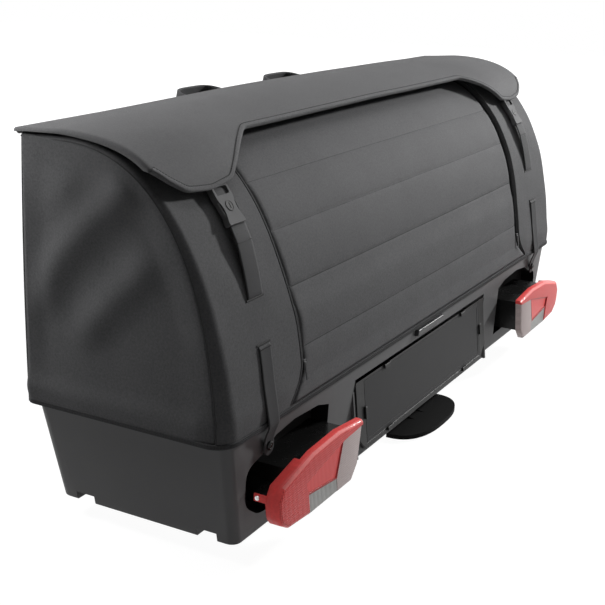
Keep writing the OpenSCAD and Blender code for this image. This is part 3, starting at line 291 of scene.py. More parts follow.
class Line:
    """A chain of points that is read by distance along it."""

    def __init__(self, points):
        self.points = [Vector(p) for p in points]
        self.marks = [0.0]
        for a, b in zip(self.points, self.points[1:]):
            self.marks.append(self.marks[-1] + (b - a).length)
        self.length = self.marks[-1]

    def leg(self, s):
        k = 1
        while k < len(self.marks) - 1 and self.marks[k] < s:
            k += 1
        return k

    def at(self, s):
        k = self.leg(s)
        a, b = self.marks[k - 1], self.marks[k]
        return self.points[k - 1].lerp(self.points[k], (s - a) / (b - a))

    def along(self, s):
        k = self.leg(s)
        return (self.points[k] - self.points[k - 1]).normalized()

    def cross(self, axis, value):
        """The point where a chain that climbs along an axis reaches a value."""
        low, high = 0, len(self.points) - 1
        while high - low > 1:
            half = (low + high) // 2
            low, high = (half, high) if self.points[half][axis] < value else (low, half)
        a, b = self.points[low], self.points[high]
        return a.lerp(b, min(1, max(0, (value - a[axis]) / (b[axis] - a[axis]))))

    def rounded(self, step, passes):
        """The same chain in even steps, with its corners eased."""
        count = max(4, round(self.length / step))
        points = [self.at(self.length * v) for v in steps(count)]
        for _ in range(passes):
            inner = [(a + b * 2 + c) / 4 for a, b, c in zip(points, points[1:], points[2:])]
            points = [points[0], *inner, points[-1]]
        return Line(points)


def face_away(bm, inside=MIDDLE):
    """Turns all faces of an open sheet to look away from a point."""
    bm.normal_update()
    if sum(f.normal.dot(f.calc_center_median() - inside) * f.calc_area() for f in bm.faces) < 0:
        bmesh.ops.reverse_faces(bm, faces=bm.faces)


def cloth_grid(columns, rows, place, cut, inside=MIDDLE):
    """A sheet from its shape in space, place(u, v), and its shape before sewing, cut(u, v), in metres."""
    bm = bmesh.new()
    bmesh.ops.create_grid(bm, x_segments=columns, y_segments=rows, size=0.5)
    layer = bm.loops.layers.uv.new("cut")
    for vert in bm.verts:
        uv = cut(vert.co.x + 0.5, vert.co.y + 0.5)
        for loop in vert.link_loops:
            loop[layer].uv = uv
        vert.co = place(vert.co.x + 0.5, vert.co.y + 0.5)
    face_away(bm, inside)
    return bm


def close(bm):
    bmesh.ops.holes_fill(bm, edges=[e for e in bm.edges if e.is_boundary])


def cut_off(bm, point, direction):
    """Takes off what lies beyond a plane and closes the cut."""
    bmesh.ops.bisect_plane(bm, geom=[*bm.verts, *bm.edges, *bm.faces], plane_co=point, plane_no=direction,
                           clear_outer=True)
    close(bm)


def rounded_off(bm, edges, width, segments, clamp=True):
    bmesh.ops.bevel(bm, geom=edges, offset=width, segments=segments, profile=0.5, affect="EDGES", material=-1,
                    clamp_overlap=clamp)


def drawn_out(bm, faces, way):
    """Draws faces out into a block."""
    grown = bmesh.ops.extrude_face_region(bm, geom=faces)["geom"]
    bmesh.ops.translate(bm, verts=[g for g in grown if isinstance(g, bmesh.types.BMVert)], vec=way)
    bmesh.ops.recalc_face_normals(bm, faces=bm.faces)
    return bm


def swept(path, section, closed=False):
    """A closed section carried along a path of (point, side, up), with caps at open ends."""
    count = len(section)
    legs = len(path) if closed else len(path) - 1

    def place(u, v):
        point, side, up = path[round(v * legs) % len(path)]
        a, b = section[round(u * count) % count]
        return point + side * a + up * b

    bm = cloth_grid(count, legs, place, lambda u, v: (u * count * 0.002, v * legs * 0.006))
    bmesh.ops.remove_doubles(bm, verts=bm.verts, dist=1e-6)
    if not closed:
        close(bm)
    bmesh.ops.recalc_face_normals(bm, faces=bm.faces)
    return bm


def rounded_box(width, height, radius, facets=3):
    """Outline of a rounded rectangle about its middle, as (a, b)."""
    points = []
    for k, (sa, sb) in enumerate(((1, 1), (-1, 1), (-1, -1), (1, -1))):
        for v in steps(facets):
            turned_by = (k + v) * math.pi / 2
            points.append((sa * (width / 2 - radius) + radius * math.cos(turned_by),
                           sb * (height / 2 - radius) + radius * math.sin(turned_by)))
    return points


def turned(outline, facets=24):
    """A lathe shape about Z from its half outline, as (radius, height)."""
    bm = bmesh.new()
    verts = [bm.verts.new((r, 0, h)) for r, h in outline]
    edges = [bm.edges.new(pair) for pair in zip(verts, verts[1:])]
    bmesh.ops.spin(bm, geom=verts + edges, cent=(0, 0, 0), axis=(0, 0, 1), angle=TAU, steps=facets,
                   use_merge=True)
    bmesh.ops.remove_doubles(bm, verts=bm.verts, dist=1e-6)
    bmesh.ops.recalc_face_normals(bm, faces=bm.faces)
    return bm


def prism(outline, near, far):
    """A block from an outline of (x, z), between two depths along y."""
    bm = bmesh.new()
    face = bm.faces.new([bm.verts.new(spot(x, (near, z))) for x, z in outline])
    return drawn_out(bm, [face], (0, far - near, 0))


def meshed(name, bm):
    mesh = bpy.data.meshes.new(name)
    bm.to_mesh(mesh)
    bm.free()
    return mesh


def placed(name, data):
    obj = bpy.data.objects.new(name, data)
    bpy.context.scene.collection.objects.link(obj)
    return obj


def join(bm, other, matrix=Matrix()):
    """Adds another shape to this one."""
    mesh = meshed("joined", other)
    mesh.transform(matrix)
    if matrix.determinant() < 0:
        mesh.flip_normals()
    bm.from_mesh(mesh)
    bpy.data.meshes.remove(mesh)
    return bm


def axes(origin, x, y, z):
    """A matrix that carries the axes onto three directions at a place."""
    matrix = Matrix((x, y, z)).transposed().to_4x4()
    matrix.translation = origin
    return matrix


def stitches(rows, pitch=0.0046, long=0.0031, wide=0.0008):
    """Stitches along rows of (line, out), where out gives the cloth's outward side at a distance."""
    bm = bmesh.new()
    for line, out in rows:
        count = max(1, round(line.length / pitch))
        for k in range(count):
            s = (k + 0.5) * line.length / count
            along, up = line.along(s), out(s).normalized()
            side = up.cross(along).normalized()
            matrix = axes(line.at(s), along * long, side * wide, up * wide)
            bmesh.ops.create_cube(bm, size=1, matrix=matrix)
    return bm


def piece(name, bm, body, finishes, stands_for=(), sharp=40):
    """Makes a shape a piece of the carrier that rides on a body."""
    mesh = meshed(name, bm)
    obj = placed(name, mesh)
    for material in finishes:
        mesh.materials.append(material)
    mesh.shade_smooth()
    mesh.set_sharp_from_angle(angle=math.radians(sharp))
    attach(obj, body)
    if stands_for:
        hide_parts(*stands_for)
    return obj


def thicken(obj, thickness):
    wall = obj.modifiers.new("Wall", "SOLIDIFY")
    wall.thickness = thickness
    wall.offset = -1
    wall.use_even_offset = True


def round_edges(obj, width, segments=2, angle=35):
    edge = obj.modifiers.new("Edges", "BEVEL")
    edge.width = width
    edge.segments = segments
    edge.limit_method = "ANGLE"
    edge.angle_limit = math.radians(angle)
    edge.harden_normals = True


def soft_sheet(obj):
    """Works out a cloth piece's flat size and area from its cut map, and keeps neither."""
    uvs = [loop.uv for loop in obj.data.uv_layers["cut"].data]
    flat = [max(uv[k] for uv in uvs) - min(uv[k] for uv in uvs) for k in (0, 1)]
    area = min(sum(face.area for face in obj.data.polygons), flat[0] * flat[1])


def solids(*nodes):
    """One shape from the solids of some nodes."""
    bm = bmesh.new()
    for node in nodes:
        bm.from_mesh(frame["nodes"][node].data)
    bmesh.ops.remove_doubles(bm, verts=bm.verts, dist=1e-6)
    return bm


def flattened(bm, angle):
    """Takes out the edges between faces that lie in one plane within an angle."""
    bmesh.ops.dissolve_limit(bm, angle_limit=math.radians(angle), verts=bm.verts, edges=bm.edges)
    return bm


def for_both(node, side):
    """A node that holds the solids of both sides: the left piece stands for it."""
    return [node] if side < 0 else []


def eased(name, node, finish, width, segments=2):
    """A moulded or machined piece: its solid with eased edges."""
    slot = next(s["material_slot"] for s in frame["record"]["subparts"] if s["node"] == node)
    obj = piece(name, flattened(solids(node), 0.6), BODY_OF[node], [finish], [node], sharp=30)
    round_edges(obj, width, segments)
    return obj


# Finishes

class Value:
    """A socket that takes part in sums."""

    def __init__(self, graph, socket):
        self.graph = graph
        self.socket = socket

    def math(self, operation, *others):
        inputs = dict(enumerate((self, *others)))
        return self.graph.node("ShaderNodeMath", {"operation": operation}, inputs)

    def __add__(self, other):
        return self.math("ADD", other)

    __radd__ = __add__

    def __mul__(self, other):
        return self.math("MULTIPLY", other)

    __rmul__ = __mul__

    def __sub__(self, other):
        return self.math("SUBTRACT", other)

    def __rsub__(self, other):
        return self.graph.node("ShaderNodeMath", {"operation": "SUBTRACT"}, {0: other, 1: self})

    def wave(self, pitch):
        """Rises and falls between 1 and -1 once in a pitch."""
        return (self * (TAU / pitch)).math("SINE")

    def most(self, other):
        return self.math("MAXIMUM", other)

    def clip(self, low, high):
        """Runs from 0 to 1 between two values."""
        inputs = {0: self, 1: low, 2: high, 3: 0.0, 4: 1.0}
        return self.graph.node("ShaderNodeMapRange", {"clamp": True}, inputs)


class Graph:
    """The nodes of one material or world."""

    def __init__(self, owner):
        owner.use_nodes = True
        self.owner = owner
        self.tree = owner.node_tree
        self.tree.nodes.clear()

    def node(self, kind, settings=None, inputs=None, out=0):
        made = self.tree.nodes.new(kind)
        for key, value in (settings or {}).items():
            setattr(made, key, value)
        for key, value in (inputs or {}).items():
            if isinstance(value, Value):
                self.tree.links.new(value.socket, made.inputs[key])
            elif isinstance(value, (tuple, list)) and len(value) == 3 and made.inputs[key].type == "RGBA":
                made.inputs[key].default_value = (*value, 1)
            else:
                made.inputs[key].default_value = value
        return Value(self, made.outputs[out]) if made.outputs else None

    def cut(self):
        """The cloth's own measures across and along, in metres."""
        uv = self.node("ShaderNodeUVMap", {"uv_map": "cut"})
        return [self.node("ShaderNodeSeparateXYZ", None, {0: uv}, k) for k in (0, 1)]

    def place(self):
        return self.node("ShaderNodeTexCoord", out=3)

    def xyz(self):
        place = self.place()
        return [self.node("ShaderNodeSeparateXYZ", None, {0: place}, k) for k in range(3)]

    def noise(self, scale, detail=2.0):
        return self.node("ShaderNodeTexNoise", None,
                         {"Vector": self.place(), "Scale": scale, "Detail": detail, "Roughness": 0.55})

    def tones(self, factor, colour, dark, light):
        """A colour that runs between two of its own shades."""
        shades = {0: factor, 6: shaded(colour, dark), 7: shaded(colour, light)}
        return self.node("ShaderNodeMix", {"data_type": "RGBA"}, shades, 2)

    def bump(self, height, distance, strength=1.0):
        return self.node("ShaderNodeBump", None,
                         {"Strength": strength, "Distance": distance, "Height": height})

    def surface(self, sockets):
        shader = self.node("ShaderNodeBsdfPrincipled", None, sockets)
        self.node("ShaderNodeOutputMaterial", None, {"Surface": shader})
        return self.owner


def shaded(colour, factor):
    return tuple(min(1, channel * factor) for channel in colour)


FINISHES = {}
# Pitches of a lens's beads and ribs
BEAD, RIB = 0.0075, 0.0042


def kept(make):
    """Makes each finish once."""
    def get(name, *details, **more):
        if name not in FINISHES:
            FINISHES[name] = make(Graph(bpy.data.materials.new(name)), *details, **more)
        return FINISHES[name]
    return get


@kept
def woven(g, colour, pitch=0.0011, contrast=0.33):
    """Coated cloth in plain weave, a little mottled, with a dull sheen."""
    across, along = g.cut()
    weave = across.wave(pitch) * along.wave(pitch) * 0.5 + 0.5
    grain, mottle = g.noise(330, 3), g.noise(16, 4)
    tone = weave * 0.2 + grain * 0.6 + mottle * 0.2
    return g.surface({
        "Base Color": g.tones(tone, colour, 1 - 2 * contrast, 1 + 2 * contrast),
        "Roughness": grain * 0.16 + 0.60,
        "Normal": g.bump(weave * 0.7 + grain * 0.5, 0.0003, 0.6),
        "Specular IOR Level": 0.07,
    })


@kept
def strapping(g, colour):
    """Webbing with fine ribs along it and a weave across them."""
    across, along = g.cut()
    rib = across.wave(0.0024) * 0.5 + 0.5
    cross = along.wave(0.0016) * 0.5 + 0.5
    grain = g.noise(500)
    tone = rib * 0.5 + cross * 0.15 + grain * 0.35
    return g.surface({
        "Base Color": g.tones(tone, colour, 0.72, 1.28),
        "Roughness": grain * 0.15 + 0.55,
        "Normal": g.bump(rib * 0.8 + cross * 0.3, 0.0004, 0.7),
        "Specular IOR Level": 0.08,
    })


@kept
def moulded(g, colour, rough=0.45, grain_depth=0.00012, scale=900, level=0.2):
    """Moulded plastic with a fine spark-eroded grain and faint handling marks."""
    grain, mottle, rub = g.noise(scale), g.noise(7, 4), g.noise(55, 5)
    return g.surface({
        "Base Color": g.tones(mottle * 0.6 + grain * 0.4, colour, 0.86, 1.14),
        "Roughness": rub * 0.14 + grain * 0.08 + (rough - 0.11),
        "Normal": g.bump(grain, grain_depth, 0.5),
        "Specular IOR Level": level,
    })


@kept
def metal(g, colour, rough=0.32):
    """Plated or bare metal with fine drawing marks along X."""
    stretch = g.node("ShaderNodeMapping", None, {"Vector": g.place(), "Scale": (40.0, 900.0, 900.0)})
    marks = g.node("ShaderNodeTexNoise", None, {"Vector": stretch, "Scale": 1.0, "Detail": 3.0})
    stain = g.noise(30, 4)
    return g.surface({
        "Base Color": g.tones(stain, colour, 0.85, 1.1),
        "Roughness": marks * 0.18 + stain * 0.1 + (rough - 0.12),
        "Normal": g.bump(marks, 0.0001, 0.4),
        "Metallic": 1.0,
    })


@kept
def coated(g, colour, rough=0.5, level=0.3):
    """Powder coat or painted casting with orange peel."""
    peel, dust = g.noise(260, 3), g.noise(18, 4)
    return g.surface({
        "Base Color": g.tones(dust, colour, 0.8, 1.25),
        "Roughness": dust * 0.16 + (rough - 0.08),
        "Normal": g.bump(peel, 0.0004, 0.35),
        "Specular IOR Level": level,
    })


@kept
def lens(g, colour, pattern, depth=0.0006, rough=0.3, contrast=0.22, level=0.12, painted_glow=0.14):
    """Glossy lens: beads or ribs moulded behind a clear skin, or plain. It glows a little in its own colour,
    which is painted light, as a lens is no lamp.
    """
    x, _, z = g.xyz()
    haze = g.noise(40, 4)
    if pattern == "beads":
        form = (x + z).wave(BEAD) * (x - z).wave(BEAD) * 0.5 + 0.5
    elif pattern == "ribs":
        form = x.wave(RIB) * 0.5 + 0.5
    else:
        form = g.noise(160, 2)
    tone = form * 0.65 + haze * 0.35
    tinted = g.tones(tone, colour, 1 - contrast, 1 + contrast)
    return g.surface({
        # Emission in the lens's own colour is painted light: it makes the lens brighter than the lamps light
        # it
        "Base Color": tinted, "Emission Color": tinted, "Emission Strength": painted_glow,
        "Roughness": haze * 0.1 + (rough - 0.05),
        "Normal": g.bump(form, depth, 0.5),
        "Coat Weight": 0.05, "Coat Roughness": 0.1, "Specular IOR Level": level,
    })


def shared(name):
    """A finish that pieces of several groups have."""
    colours = bpy.context.scene.carrier_colours
    make, *details = {
        "cover_cloth": (woven, colours.cloth),
        "thread": (moulded, colours.thread, 0.7),
        "strap_thread": (moulded, (0.016, 0.016, 0.016), 0.7),
        "sleeve": (moulded, (0.05, 0.05, 0.052), 0.6),
        "trim_black": (moulded, colours.trim),
        "rubber_black": (moulded, (0.016, 0.016, 0.016), 0.75, 0.0002, 500),
        "frame_coat": (coated, (0.03, 0.03, 0.03)),
        "zinc": (metal, (0.55, 0.55, 0.55)),
    }[name]
    return make(name, *details)


# Stage

def looking(eye, target, roll=0):
    """The place of a camera or lamp that looks at a point."""
    look = (Vector(target) - Vector(eye)).to_track_quat("-Z", "Y").to_matrix() @ Matrix.Rotation(roll, 3, "Z")
    return Matrix.Translation(eye) @ look.to_4x4()


class CARRIER_OT_stage(bpy.types.Operator):
    """Camera, soft studio light and a pale floor"""
    bl_idname = "carrier.stage"
    bl_label = "Stage"
    # Place and size of each lamp, by its setting
    LAMPS = {
        "key": ((3.6, -1.6, 1.75), 0.36), "top": ((0.2, 0.3, 3.4), 2.4), "fill": ((-0.94, 0.62, 0.84), 0.3),
    }
    LAMPS_AIM = (0, 0, 0.35)
    SENSOR_W = 36
    FLOOR_HALF, FLOOR_Z = 8, -0.0005
    FLOOR_GREY, FLOOR_WHITE = (0.55, 0.55, 0.55), 1.28
    # Squares of the distances between which the floor fades into white
    FADE = (0.9, 5.0)

    def execute(self, context):
        s = context.scene.carrier_stage
        context.scene.view_settings.view_transform = "Standard"
        camera = placed("camera", bpy.data.cameras.new("camera"))
        camera.data.lens, camera.data.sensor_width = s.lens, self.SENSOR_W
        camera.matrix_world = looking(s.eye, s.target, s.roll)
        context.scene.camera = camera
        for name, (place, size) in self.LAMPS.items():
            lamp = bpy.data.lights.new(f"{name}_light", "AREA")
            lamp.size, lamp.energy = size, getattr(s, name)
            placed(lamp.name, lamp).matrix_world = looking(place, self.LAMPS_AIM)
        self.sky(context, s.sky)
        self.floor()
        return {"FINISHED"}

    def seen(self, g):
        """1 for rays that show the backdrop itself: from the camera, in gloss and through glass."""
        kinds = ("Is Camera Ray", "Is Glossy Ray", "Is Transmission Ray")
        camera, glossy, passing = (g.node("ShaderNodeLightPath", out=kind) for kind in kinds)
        return camera.most(glossy).most(passing)

    def sky(self, context, strength):
        context.scene.world = bpy.data.worlds.new("studio")
        g = Graph(context.scene.world)
        light = g.node("ShaderNodeBackground", None, {"Color": (1, 1, 1), "Strength": strength})
        white = g.node("ShaderNodeBackground", None, {"Color": (1, 1, 1), "Strength": 1.0})
        shown = g.node("ShaderNodeMixShader", None, {0: self.seen(g), 1: light, 2: white})
        g.node("ShaderNodeOutputWorld", None, {"Surface": shown})

    def floor(self):
        bm = bmesh.new()
        bmesh.ops.create_grid(bm, x_segments=1, y_segments=1, size=self.FLOOR_HALF)
        mesh = meshed("floor", bm)
        mesh.transform(Matrix.Translation((0, 0, self.FLOOR_Z)))
        obj = placed("floor", mesh)
        g = Graph(bpy.data.materials.new("pale_floor"))
        paint = g.node("ShaderNodeBsdfDiffuse", None, {"Color": self.FLOOR_GREY})
        white = g.node("ShaderNodeEmission", None, {"Color": (1, 1, 1), "Strength": self.FLOOR_WHITE})
        x, y, _ = g.xyz()
        far = (x * x + y * y).clip(*self.FADE)
        bright = self.seen(g) * (far * 0.25 + 0.75)
        shown = g.node("ShaderNodeMixShader", None, {0: bright, 1: paint, 2: white})
        g.node("ShaderNodeOutputMaterial", None, {"Surface": shown})
        mesh.materials.append(g.owner)


# Cover

def ridge(yz, crest, half_width):
    """Height share of a soft fold along a crest, fading at both ends."""
    best, at, run = 9.0, 0.0, 0.0
    for a, b in zip(crest, crest[1:]):
        leg = b - a
        t = min(1, max(0, (yz - a).dot(leg) / leg.length_squared))
        gap = (yz - a - leg * t).length
        if gap < best:
            best, at = gap, run + t * leg.length
        run += leg.length
    return math.exp(-(best / half_width) ** 2) * ease(-0.01, 0.05, at) * ease(-0.01, 0.07, run - at)


class CARRIER_OT_end_panels(bpy.types.Operator):
    """Soft end panels with their diagonal folds"""
    bl_idname = "carrier.end_panels"
    bl_label = "End panels"
    # Folds from the shoulder down to the front: share of the height, then the crest as (y, z)
    CRESTS = (
        (0.45, (0.048, 0.566), (0.094, 0.522), (0.128, 0.487)),
        (1.0, (-0.047, 0.566), (-0.004, 0.525), (0.045, 0.486), (0.079, 0.454), (0.110, 0.414),
         (0.128, 0.372), (0.142, 0.332)),
        (1.0, (-0.072, 0.463), (-0.038, 0.427), (0.005, 0.387), (0.035, 0.356), (0.062, 0.325),
         (0.076, 0.293)),
    )
    FOLD_W = 0.027
    HOLLOW = 0.007
    # Swell over the hem: height, half height and depth
    HEM_ROLL = (0.231, 0.016, 0.0045)

    def execute(self, context):
        cover = context.scene.carrier_cover
        prof = Profile(cover)
        cloth = shared("cover_cloth")
        roll_z, roll_h, roll = self.HEM_ROLL
        crests = [(high, [Vector(p) for p in crest]) for high, *crest in self.CRESTS]
        for name, side in SIDES:
            seed = Vector((3.1 * side, 0.7, 1.9))

            def flat(u, v):
                rear = prof.off(v * 0.998, -0.5305 * prof.corner(v))
                z = mix(cover.hem_z, cover.top_z, v)
                return rear.lerp(Vector((prof.front(z) - 0.004, z)), u)

            def place(u, v):
                yz = flat(u, v)
                wide = (flat(1, v) - flat(0, v)).length
                near = min(u * wide, (1 - u) * wide + 0.01, (yz.y - cover.hem_z) + 0.02)
                held = ease(0.0, 0.05, near)
                x = cover.half_width - 0.117 * prof.corner(v) * (1 - ease(0, 0.04, u * wide))
                x -= 0.0016 * (1 - ease(0, 0.010, u * wide))
                folds = sum(high * ridge(yz, crest, self.FOLD_W) for high, crest in crests)
                x += cover.fold * folds * ease(0.0, 0.03, near)
                up = (yz.y - cover.hem_z) / (cover.top_z - cover.hem_z)
                x -= self.HOLLOW * math.sin(math.pi * min(1, up * 1.15)) * held
                x += roll * math.exp(-((yz.y - roll_z) / roll_h) ** 2) * ease(0, 0.03, u * wide)
                x += 0.0022 * noise.noise(Vector((yz.x, yz.y, 0)) * 9 + seed) * held
                return spot(side * x, yz)

            bm = cloth_grid(64, 72, place, flat)
            obj = piece(f"end_panel_{name}_cloth", bm, "base", [cloth], [f"end_panel_{name}"])
            thicken(obj, CLOTH_T)
            soft_sheet(obj)
        return {"FINISHED"}


class CARRIER_OT_side_strips(bpy.types.Operator):
    """Strips from the zips over the rounded corners to the end panels, and the seams along them"""
    bl_idname = "carrier.side_strips"
    bl_label = "Side strips"
    # Shares of the section at which the lip ends and the corner starts
    LIP, BEND = 0.1, 0.58
    LIP_R = 0.0014
    TURN = math.radians(62)

    def across(self, u, cover, inner, radius, deep):
        """Place across, depth and run of the strip's section: a turned lip, the flat and the corner."""
        bend_x = cover.half_width - radius
        lip_r = self.LIP_R
        if u < self.LIP:
            k = u / self.LIP
            if k < 0.5:
                return inner, mix(deep, lip_r, 2 * k), mix(lip_r - deep, 0, 2 * k)
            a = (2 * k - 1) * math.pi / 2
            return inner + lip_r * (1 - math.cos(a)), lip_r * (1 - math.sin(a)), lip_r * a
        run = lip_r * math.pi / 2
        if u < self.BEND:
            x = mix(inner + lip_r, bend_x, (u - self.LIP) / (self.BEND - self.LIP))
            return x, 0.0, run + x - inner - lip_r
        a = self.TURN * (u - self.BEND) / (1 - self.BEND)
        run += bend_x - inner - lip_r + radius * a
        return bend_x + radius * math.sin(a), radius * (1 - math.cos(a)), run

    def execute(self, context):
        cover = context.scene.carrier_cover
        prof = Profile(cover)
        dark = woven("zip_edge", (0.045, 0.045, 0.046), 0.0009)
        for name, side in SIDES:

            def section(u, v):
                t = v * prof.end_t
                inner = prof.zip_x(t) + cover.zip_w / 2
                return t, self.across(u, cover, inner, prof.corner(t), 0.004 + 0.006 * prof.sunk(t))

            def place(u, v):
                t, (x, depth, _) = section(u, v)
                soft = 0.0016 * noise.noise(Vector((x * 14, t * 8, 2.7 * side)))
                soft *= ease(self.LIP, self.LIP + 0.2, u) * ease(0, 0.1, 1 - u) * ease(0, 0.06, t)
                soft += 0.002 * math.exp(-((t - 0.055) / 0.03) ** 2) * ease(self.LIP, self.LIP + 0.1, u)
                return spot(side * x, prof.off(t, soft - depth))

            def cut(u, v):
                t, (_, _, run) = section(u, v)
                return run, t * prof.REACH

            bm = cloth_grid(56, 110, place, cut)
            obj = piece(f"side_strip_{name}_cloth", bm, "base", [shared("cover_cloth")],
                        [f"side_strip_{name}"])
            thicken(obj, CLOTH_T)
            # Dark seam beside the end panel
            path = []
            for v in steps(160):
                t = v * prof.end_t
                up = in_space(prof.out(t)) * math.cos(self.TURN) + ACROSS * (side * math.sin(self.TURN))
                path.append((place(1, v) - up * 0.0001, in_space(prof.slope(t)).cross(up), up))
            seam = swept(path, rounded_box(0.0019, 0.0012, 0.0004, 2))
            sewn = piece(f"side_seam_{name}", seam, "base", [shared("thread")])
            # Dark tape that binds the edge beside the zip
            path = []
            for v in steps(120):
                t = mix(prof.hem_t, cover.panel_top + 0.02, v)
                x = prof.zip_x(t) + cover.zip_w / 2 + 0.0020
                path.append((spot(side * x, prof.off(t, 0.0001)), ACROSS, in_space(prof.out(t))))
            tape = swept(path, rounded_box(0.0038, 0.0012, 0.0005, 2))
            bound = piece(f"zip_edge_{name}", tape, "base", [dark])
            soft_sheet(obj)
        return {"FINISHED"}


def sleeves(lid, radius, spans):
    """Tubes round the hinge rod, each from one place across to another."""
    bm = bmesh.new()
    for start, stop in spans:
        long = stop - start
        ring = [(HINGE_ROD_R, 0), (radius, 0), (radius, long), (HINGE_ROD_R, long), (HINGE_ROD_R, 0)]
        join(bm, turned(ring), axes(spot(start, (lid.hinge_y, lid.hinge_z)), AHEAD, UP, ACROSS))
    return bm


class CARRIER_OT_front_wall(bpy.types.Operator):
    """Front wall with the sleeves that hold the hinge rod"""
    bl_idname = "carrier.front_wall"
    bl_label = "Front wall"
    HALF_WIDTH = 0.693
    SLEEVE_R = 0.0048
    SLEEVES = ((-0.330, -0.220), (0.220, 0.330))

    def execute(self, context):
        cover = context.scene.carrier_cover
        prof = Profile(cover)
        half, top_z = self.HALF_WIDTH, cover.top_z - 0.004

        def flat(u, v):
            return mix(-half, half, u), mix(cover.hem_z, top_z, v)

        def place(u, v):
            x, z = flat(u, v)
            held = ease(0, 0.06, half - abs(x)) * ease(0, 0.05, z - cover.hem_z) * ease(0, 0.05, 0.6 - z)
            soft = noise.noise(Vector((x * 5, z * 7, 4.2))) * 0.002 - 0.001
            return spot(x, (prof.front(z) + soft * held, z))

        obj = piece("front_wall_cloth", cloth_grid(110, 40, place, flat), "base",
                    [shared("cover_cloth")], ["front_wall"])
        thicken(obj, CLOTH_T)
        ties = piece("hinge_sleeves", sleeves(context.scene.carrier_lid, self.SLEEVE_R, self.SLEEVES), "base",
                     [shared("sleeve")])
        soft_sheet(obj)
        return {"FINISHED"}


class CARRIER_OT_rear_panel(bpy.types.Operator):
    """Padded rear panel with sewn channels"""
    bl_idname = "carrier.rear_panel"
    bl_label = "Rear panel"

    def execute(self, context):
        cover = context.scene.carrier_cover
        prof = Profile(cover)
        # The rear panel's cloth is a lighter copy of the cover cloth, partly as painted light on the panel
        cloth = woven("panel_cloth", shaded(context.scene.carrier_colours.cloth, 1.1), 0.0013)
        half = functools.cache(lambda t: prof.zip_x(t) - cover.zip_w / 2)
        seams = [prof.hem_t] + [cover.seam_first + k * cover.seam_step for k in range(4)] + [cover.panel_top]

        def rise(x, t):
            k = max(i for i in range(len(seams) - 1) if t >= seams[i] - 1e-9)
            inside = (t - seams[k]) / (seams[k + 1] - seams[k])
            puff = max(0, math.sin(math.pi * min(1, inside))) ** 0.34
            edge = half(t) - abs(x)
            border = ease(-0.0005, 0.0045, edge)
            near = min(t - seams[k], seams[k + 1] - t) * prof.REACH
            ripple = noise.noise(Vector((x * 62, k + (t > (seams[k] + seams[k + 1]) / 2), 0.3)))
            pucker = 0.0005 * ripple * math.exp(-(near / 0.011) ** 2)
            crown = 0.002 * ease(0, 0.30, edge)
            soft = 0.0007 * noise.noise(Vector((x * 7, t * 9, 8.1)))
            deep = mix(prof.groove(t) * prof.sunk(t), prof.inset(t), border)
            return (cover.panel_swell * puff + pucker + soft * puff + crown * prof.sunk(t)) * border - deep

        def cut(u, v):
            t = mix(prof.hem_t, cover.panel_top, v)
            return mix(-half(t), half(t), u), t * prof.REACH

        def place(u, v):
            x, run = cut(u, v)
            t = run / prof.REACH
            return spot(x, prof.off(t, rise(x, t)))

        obj = piece("rear_panel_padding", cloth_grid(130, 200, place, cut), "base", [cloth],
                    ["rear_panel"], sharp=75)
        thicken(obj, cover.panel_t)
        rows = []
        for t in seams[1:-1]:
            places = [mix(0.004 - half(t), half(t) - 0.004, u) for u in steps(200)]
            line = Line([spot(x, prof.off(t, rise(x, t) + 0.0003)) for x in places])
            rows.append((line, lambda s, out=in_space(prof.out(t)): out))
        sewn = stitches(rows, 0.0046, 0.0042, 0.0014)
        piece("rear_panel_seams", sewn, "base", [shared("thread")])
        return {"FINISHED"}


class CARRIER_OT_zips(bpy.types.Operator):
    """Zips beside the rear panel, and their sliders"""
    bl_idname = "carrier.zips"
    bl_label = "Zips"
    TAPE_HALF = 0.006
    TEETH_SHIFT = 0.0013

    def execute(self, context):
        cover = context.scene.carrier_cover
        prof = Profile(cover)
        tape = woven("zip_tape", (0.022, 0.022, 0.023), 0.0009)
        coil = moulded("zip_coil", (0.014, 0.014, 0.015), 0.75)
        steel = coated("slider_black", (0.016, 0.016, 0.017), 0.6)
        for name, side in SIDES:
            low, high = prof.hem_t, cover.panel_top

            def cut(u, v):
                return mix(-self.TAPE_HALF, self.TAPE_HALF, u), mix(low, high, v) * prof.REACH

            def place(u, v):
                across, run = cut(u, v)
                t = run / prof.REACH
                deep = mix(0.0015, prof.groove(t) - 0.0008, prof.sunk(t))
                return spot(side * prof.zip_x(t) + across, prof.off(t, -deep))

            obj = piece(f"zip_{name}_tape", cloth_grid(6, 90, place, cut), "base", [tape],
                        [f"zip_{name}"])
            thicken(obj, 0.001)
            teeth = []
            for shift in (-self.TEETH_SHIFT, self.TEETH_SHIFT):
                points = []
                for v in steps(240):
                    t = mix(low, high, v)
                    deep = mix(0.0010, prof.groove(t) - 0.0024, prof.sunk(t))
                    points.append(spot(side * prof.zip_x(t) + shift, prof.off(t, -deep)))
                teeth.append((Line(points), lambda s: Vector((0, -0.8, 0.6))))
            chain = stitches(teeth, 0.0026, 0.0015, 0.0021)
            coils = piece(f"zip_{name}_coil", chain, "base", [coil])
            soft_sheet(obj)
            eased(f"zip_slider_{name}_body", f"zip_slider_{name}", steel, 0.0009)
        return {"FINISHED"}


def loop_out(loop, s):
    """The outward direction of a flat loop, as seen from above, at a distance along it."""
    along = loop.along(min(s, loop.length))
    return Vector((along.y, -along.x, 0))


